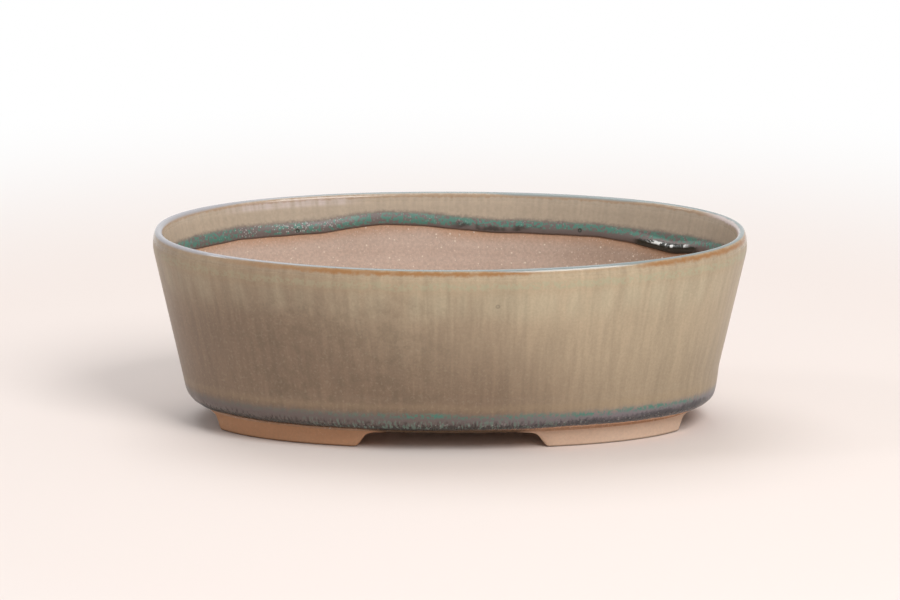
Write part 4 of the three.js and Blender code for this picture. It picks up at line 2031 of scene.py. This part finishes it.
    def coat(self) -> bpy.types.Object:
        """The closed coat: its outer side from the roll over the lip to the bead, and back along the clay.

        Each point is the clay's own point moved along the way the clay faces. Inside, the points also slide
        down by the wave of the glaze line. The coat keeps what the glaze's nodes read: the fall from the
        crest, the distance to the nearest end, the drop, and the place carried up to one ring.

        Returns:
            The piece.
        """
        angle = turn_angles(self.turns)[:, None]
        under = self.clay_line()
        inside, crest = under.inside, under.crest
        out = heading(under.facing)
        skin_line = under.points + self.section.skin * out
        climb = np.concatenate([[0.0], np.cumsum(np.hypot(*np.diff(skin_line, axis=0).T))])
        slide = np.zeros((self.turns, len(climb)))
        drop = self.line.at(angle) - self.line.depth
        slide[:, inside:] = drop * soft_step(under.depth, 0.0, self.line.depth - self.bead_height)
        fall = climb[crest] - climb - slide
        edge = np.broadcast_to(climb, fall.shape).copy()
        edge[:, crest:] = fall[:, crest:] - fall[:, -1:]

        clay = under.points + slide[..., None] * -heading(self.section.inner_slope)
        front = clay + self.lift(under, climb, edge, angle)[..., None] * out
        back_order = np.arange(len(climb) - self.back_step, self.back_step - 1, -self.back_step)
        back = (clay + self.film * out)[:, back_order]
        loop = np.concatenate([front, back], axis=1)
        index = numbered(*loop.shape[:2])
        piece = new_piece("glaze_skin", self.plan.carry(loop, angle), [quads(index, True, True)])

        ring = self.plan.carry(np.array([self.run_reach, 0.0]), angle)
        run = np.broadcast_to(ring, (*fall.shape, 3)).copy()
        run[..., 2] = -fall
        drips = np.broadcast_to(self.heavy_sag.share(angle), fall.shape)
        readings = {"fall": fall * PER_MM, "edge": edge * PER_MM, "drip": drips, "run": run}
        for name, values in readings.items():
            store(piece, name, np.concatenate([values, values[:, back_order]], axis=1))
        piece.data.set_sharp_from_angle(angle=self.crease)
        return piece


# Floor, light and camera


@dataclass(frozen=True)
class Lamp:
    """A soft square light that looks at the pot."""

    name: str
    place: tuple[float, float, float]
    size: float
    power: float
    colour: tuple[float, float, float]


@dataclass
class Studio:
    """A pale floor that fades to white, soft lamps and the camera."""

    aim: tuple[float, float, float] = (0.06 * MM, 0.0, 49.55 * MM)
    distance: float = 3.643
    pitch: float = math.radians(13.73)
    roll: float = math.radians(0.14)
    lens: float = 360.0
    sensor: float = 36.0
    floor_size: float = 16.0
    floor_ticks: int = 17
    floor_tone: Tone = tone(238, 227, 221)
    floor_specular: float = 0.1
    floor_clouds: Clouds = Clouds(30.0, 2.0)
    floor_rough: Ramp = Ramp(0.3, 0.7, 0.75, 0.85)
    floor_fade: Ramp = Ramp(0.26, 0.6)
    world_strength: float = 0.46
    horizon_share: float = 0.15
    full_height: float = 0.7
    lamps: tuple[Lamp, ...] = (
        Lamp("key", (0.88, -1.36, 1.6), 1.05, 31.0, (1.0, 0.99, 0.98)),
        Lamp("fill", (-1.75, -0.2, 1.45), 0.35, 4.0, (0.96, 0.98, 1.0)),
        Lamp("top", (-0.3, 0.8, 2.0), 1.6, 18.0, (0.97, 0.98, 1.0)),
    )

    def build(self) -> None:
        """Makes the floor, the world, the lamps and the camera."""
        self.floor()
        self.world()
        for lamp in self.lamps:
            self.lamp(lamp)
        self.camera()
        bpy.context.scene.view_settings.view_transform = "Standard"

    @staticmethod
    def seen(recipe: Recipe, *kinds: str) -> Value:
        """A mask of the rays that come straight from the camera, or as one of the named kinds.

        Args:
            recipe: the recipe that the nodes go into.
            *kinds: Blender's names for the other kinds.

        Returns:
            The mask.
        """
        mask = recipe.value("ShaderNodeLightPath", {}, "Is Camera Ray")
        for kind in kinds:
            other = recipe.value("ShaderNodeLightPath", {}, f"Is {kind} Ray")
            mask = mask.math(Blend.MOST, other)
        return mask

    def floor(self) -> None:
        """A flat grid whose material is pale near the pot and white to the camera further out."""
        ticks = np.linspace(-self.floor_size / 2, self.floor_size / 2, self.floor_ticks)
        x, y = np.meshgrid(ticks, ticks, indexing="ij")
        index = numbered(*x.shape)
        points = np.stack([x, y, np.zeros_like(x)], axis=-1)
        floor = new_piece("studio_floor", points, [quads(index, False, False)])
        surface = Surface("pale_floor")
        recipe = surface.recipe
        place = recipe.place()
        surface.set("Base Color", self.floor_tone)
        surface.set("Specular IOR Level", self.floor_specular)
        surface.set("Roughness", place.noise(self.floor_clouds).step(self.floor_rough))
        away = recipe.value("ShaderNodeVectorMath", {0: place}, "Value", operation="LENGTH")
        far = away.step(self.floor_fade) * self.seen(recipe, "Glossy", "Transmission")
        white = recipe.value("ShaderNodeEmission", {})
        blend = recipe.value("ShaderNodeMixShader", {0: far, 1: surface.shader, 2: white})
        recipe.feed(surface.output.inputs["Surface"], blend)
        floor.data.materials.append(surface.material)

    def world(self) -> None:
        """A plain white world, weaker near the horizon, and in full where the camera or a gloss sees it."""
        world = bpy.data.worlds.new("studio_world")
        world.use_nodes = True
        recipe = Recipe(world.node_tree)
        weak = self.horizon_share * self.world_strength
        light = Ramp(0.0, self.full_height, weak, self.world_strength)
        strength = recipe.place().part(2).step(light).math(Blend.MOST, self.seen(recipe, "Glossy"))
        white = recipe.value("ShaderNodeBackground", {"Color": tone(255, 255, 255), "Strength": strength})
        recipe.node("ShaderNodeOutputWorld", {"Surface": white})
        bpy.context.scene.world = world

    def lamp(self, lamp: Lamp) -> None:
        """Hangs a lamp and turns it to the pot.

        Args:
            lamp: which lamp.
        """
        data = bpy.data.lights.new(lamp.name, "AREA")
        data.size = lamp.size
        data.energy = lamp.power
        data.color = lamp.colour
        made = bpy.data.objects.new(lamp.name, data)
        made.location = lamp.place
        made.rotation_euler = (Vector(self.aim) - Vector(lamp.place)).to_track_quat("-Z", "Y").to_euler()
        bpy.context.scene.collection.objects.link(made)

    def camera(self) -> None:
        """Sets the long lens in front of the pot, a little above it and turned by a trace."""
        data = bpy.data.cameras.new("camera")
        data.lens = self.lens
        data.sensor_width = self.sensor
        made = bpy.data.objects.new("camera", data)
        ahead = Vector((0.0, math.cos(self.pitch), -math.sin(self.pitch)))
        place = Matrix.Translation(Vector(self.aim) - ahead * self.distance)
        tilt = Matrix.Rotation(math.pi / 2 - self.pitch, 4, "X")
        turn = Matrix.Rotation(self.roll, 4, "Z")
        made.matrix_world = place @ tilt @ turn
        bpy.context.scene.collection.objects.link(made)
        bpy.context.scene.camera = made


def main() -> None:
    logging.basicConfig(level=logging.INFO, format="%(name)s: %(message)s")
    section = ClaySection.from_frame()
    low, high = cad_box
    plan = OvalPlan(section.half_length, (high[1] - low[1]) / 2, section.height)
    line = GlazeLine()
    shared = SharedGroups()
    bare_clay = ClayFinish(
        "bare_clay",
        ground=tone(205, 182, 167),
        # Darker towards +X: painted shade inside the right end
        far=tone(170, 145, 127),
        flash=tone(198, 154, 122),
        grog=tone(236, 222, 206),
        flash_fade=6.0,
        speck_share=0.2,
        far_from=0.0 * MM,
        far_to=95.0 * MM,
        tooth=0.12,
    )
    foot_clay = ClayFinish(
        "foot_clay",
        ground=tone(206, 158, 123),
        # Paler and greyer towards +X: painted light and sheen from the key lamp on the right
        far=tone(220, 194, 172),
        flash=tone(208, 152, 108),
        grog=tone(222, 190, 162),
        flash_fade=1.6,
        speck_share=0.05,
        far_from=-30.0 * MM,
        far_to=70.0 * MM,
        tooth=0.06,
    )
    glaze = GlazeFinish(PitPlaces().marks(section, plan))
    ClayBody(section, plan, line).build(bare_clay.material(shared))
    CutFeet(section, plan).build(foot_clay.material(shared))
    GlazeCoat(section, plan, line).build(glaze.material(shared))
    Studio().build()


if __name__ == "__main__":
    main()
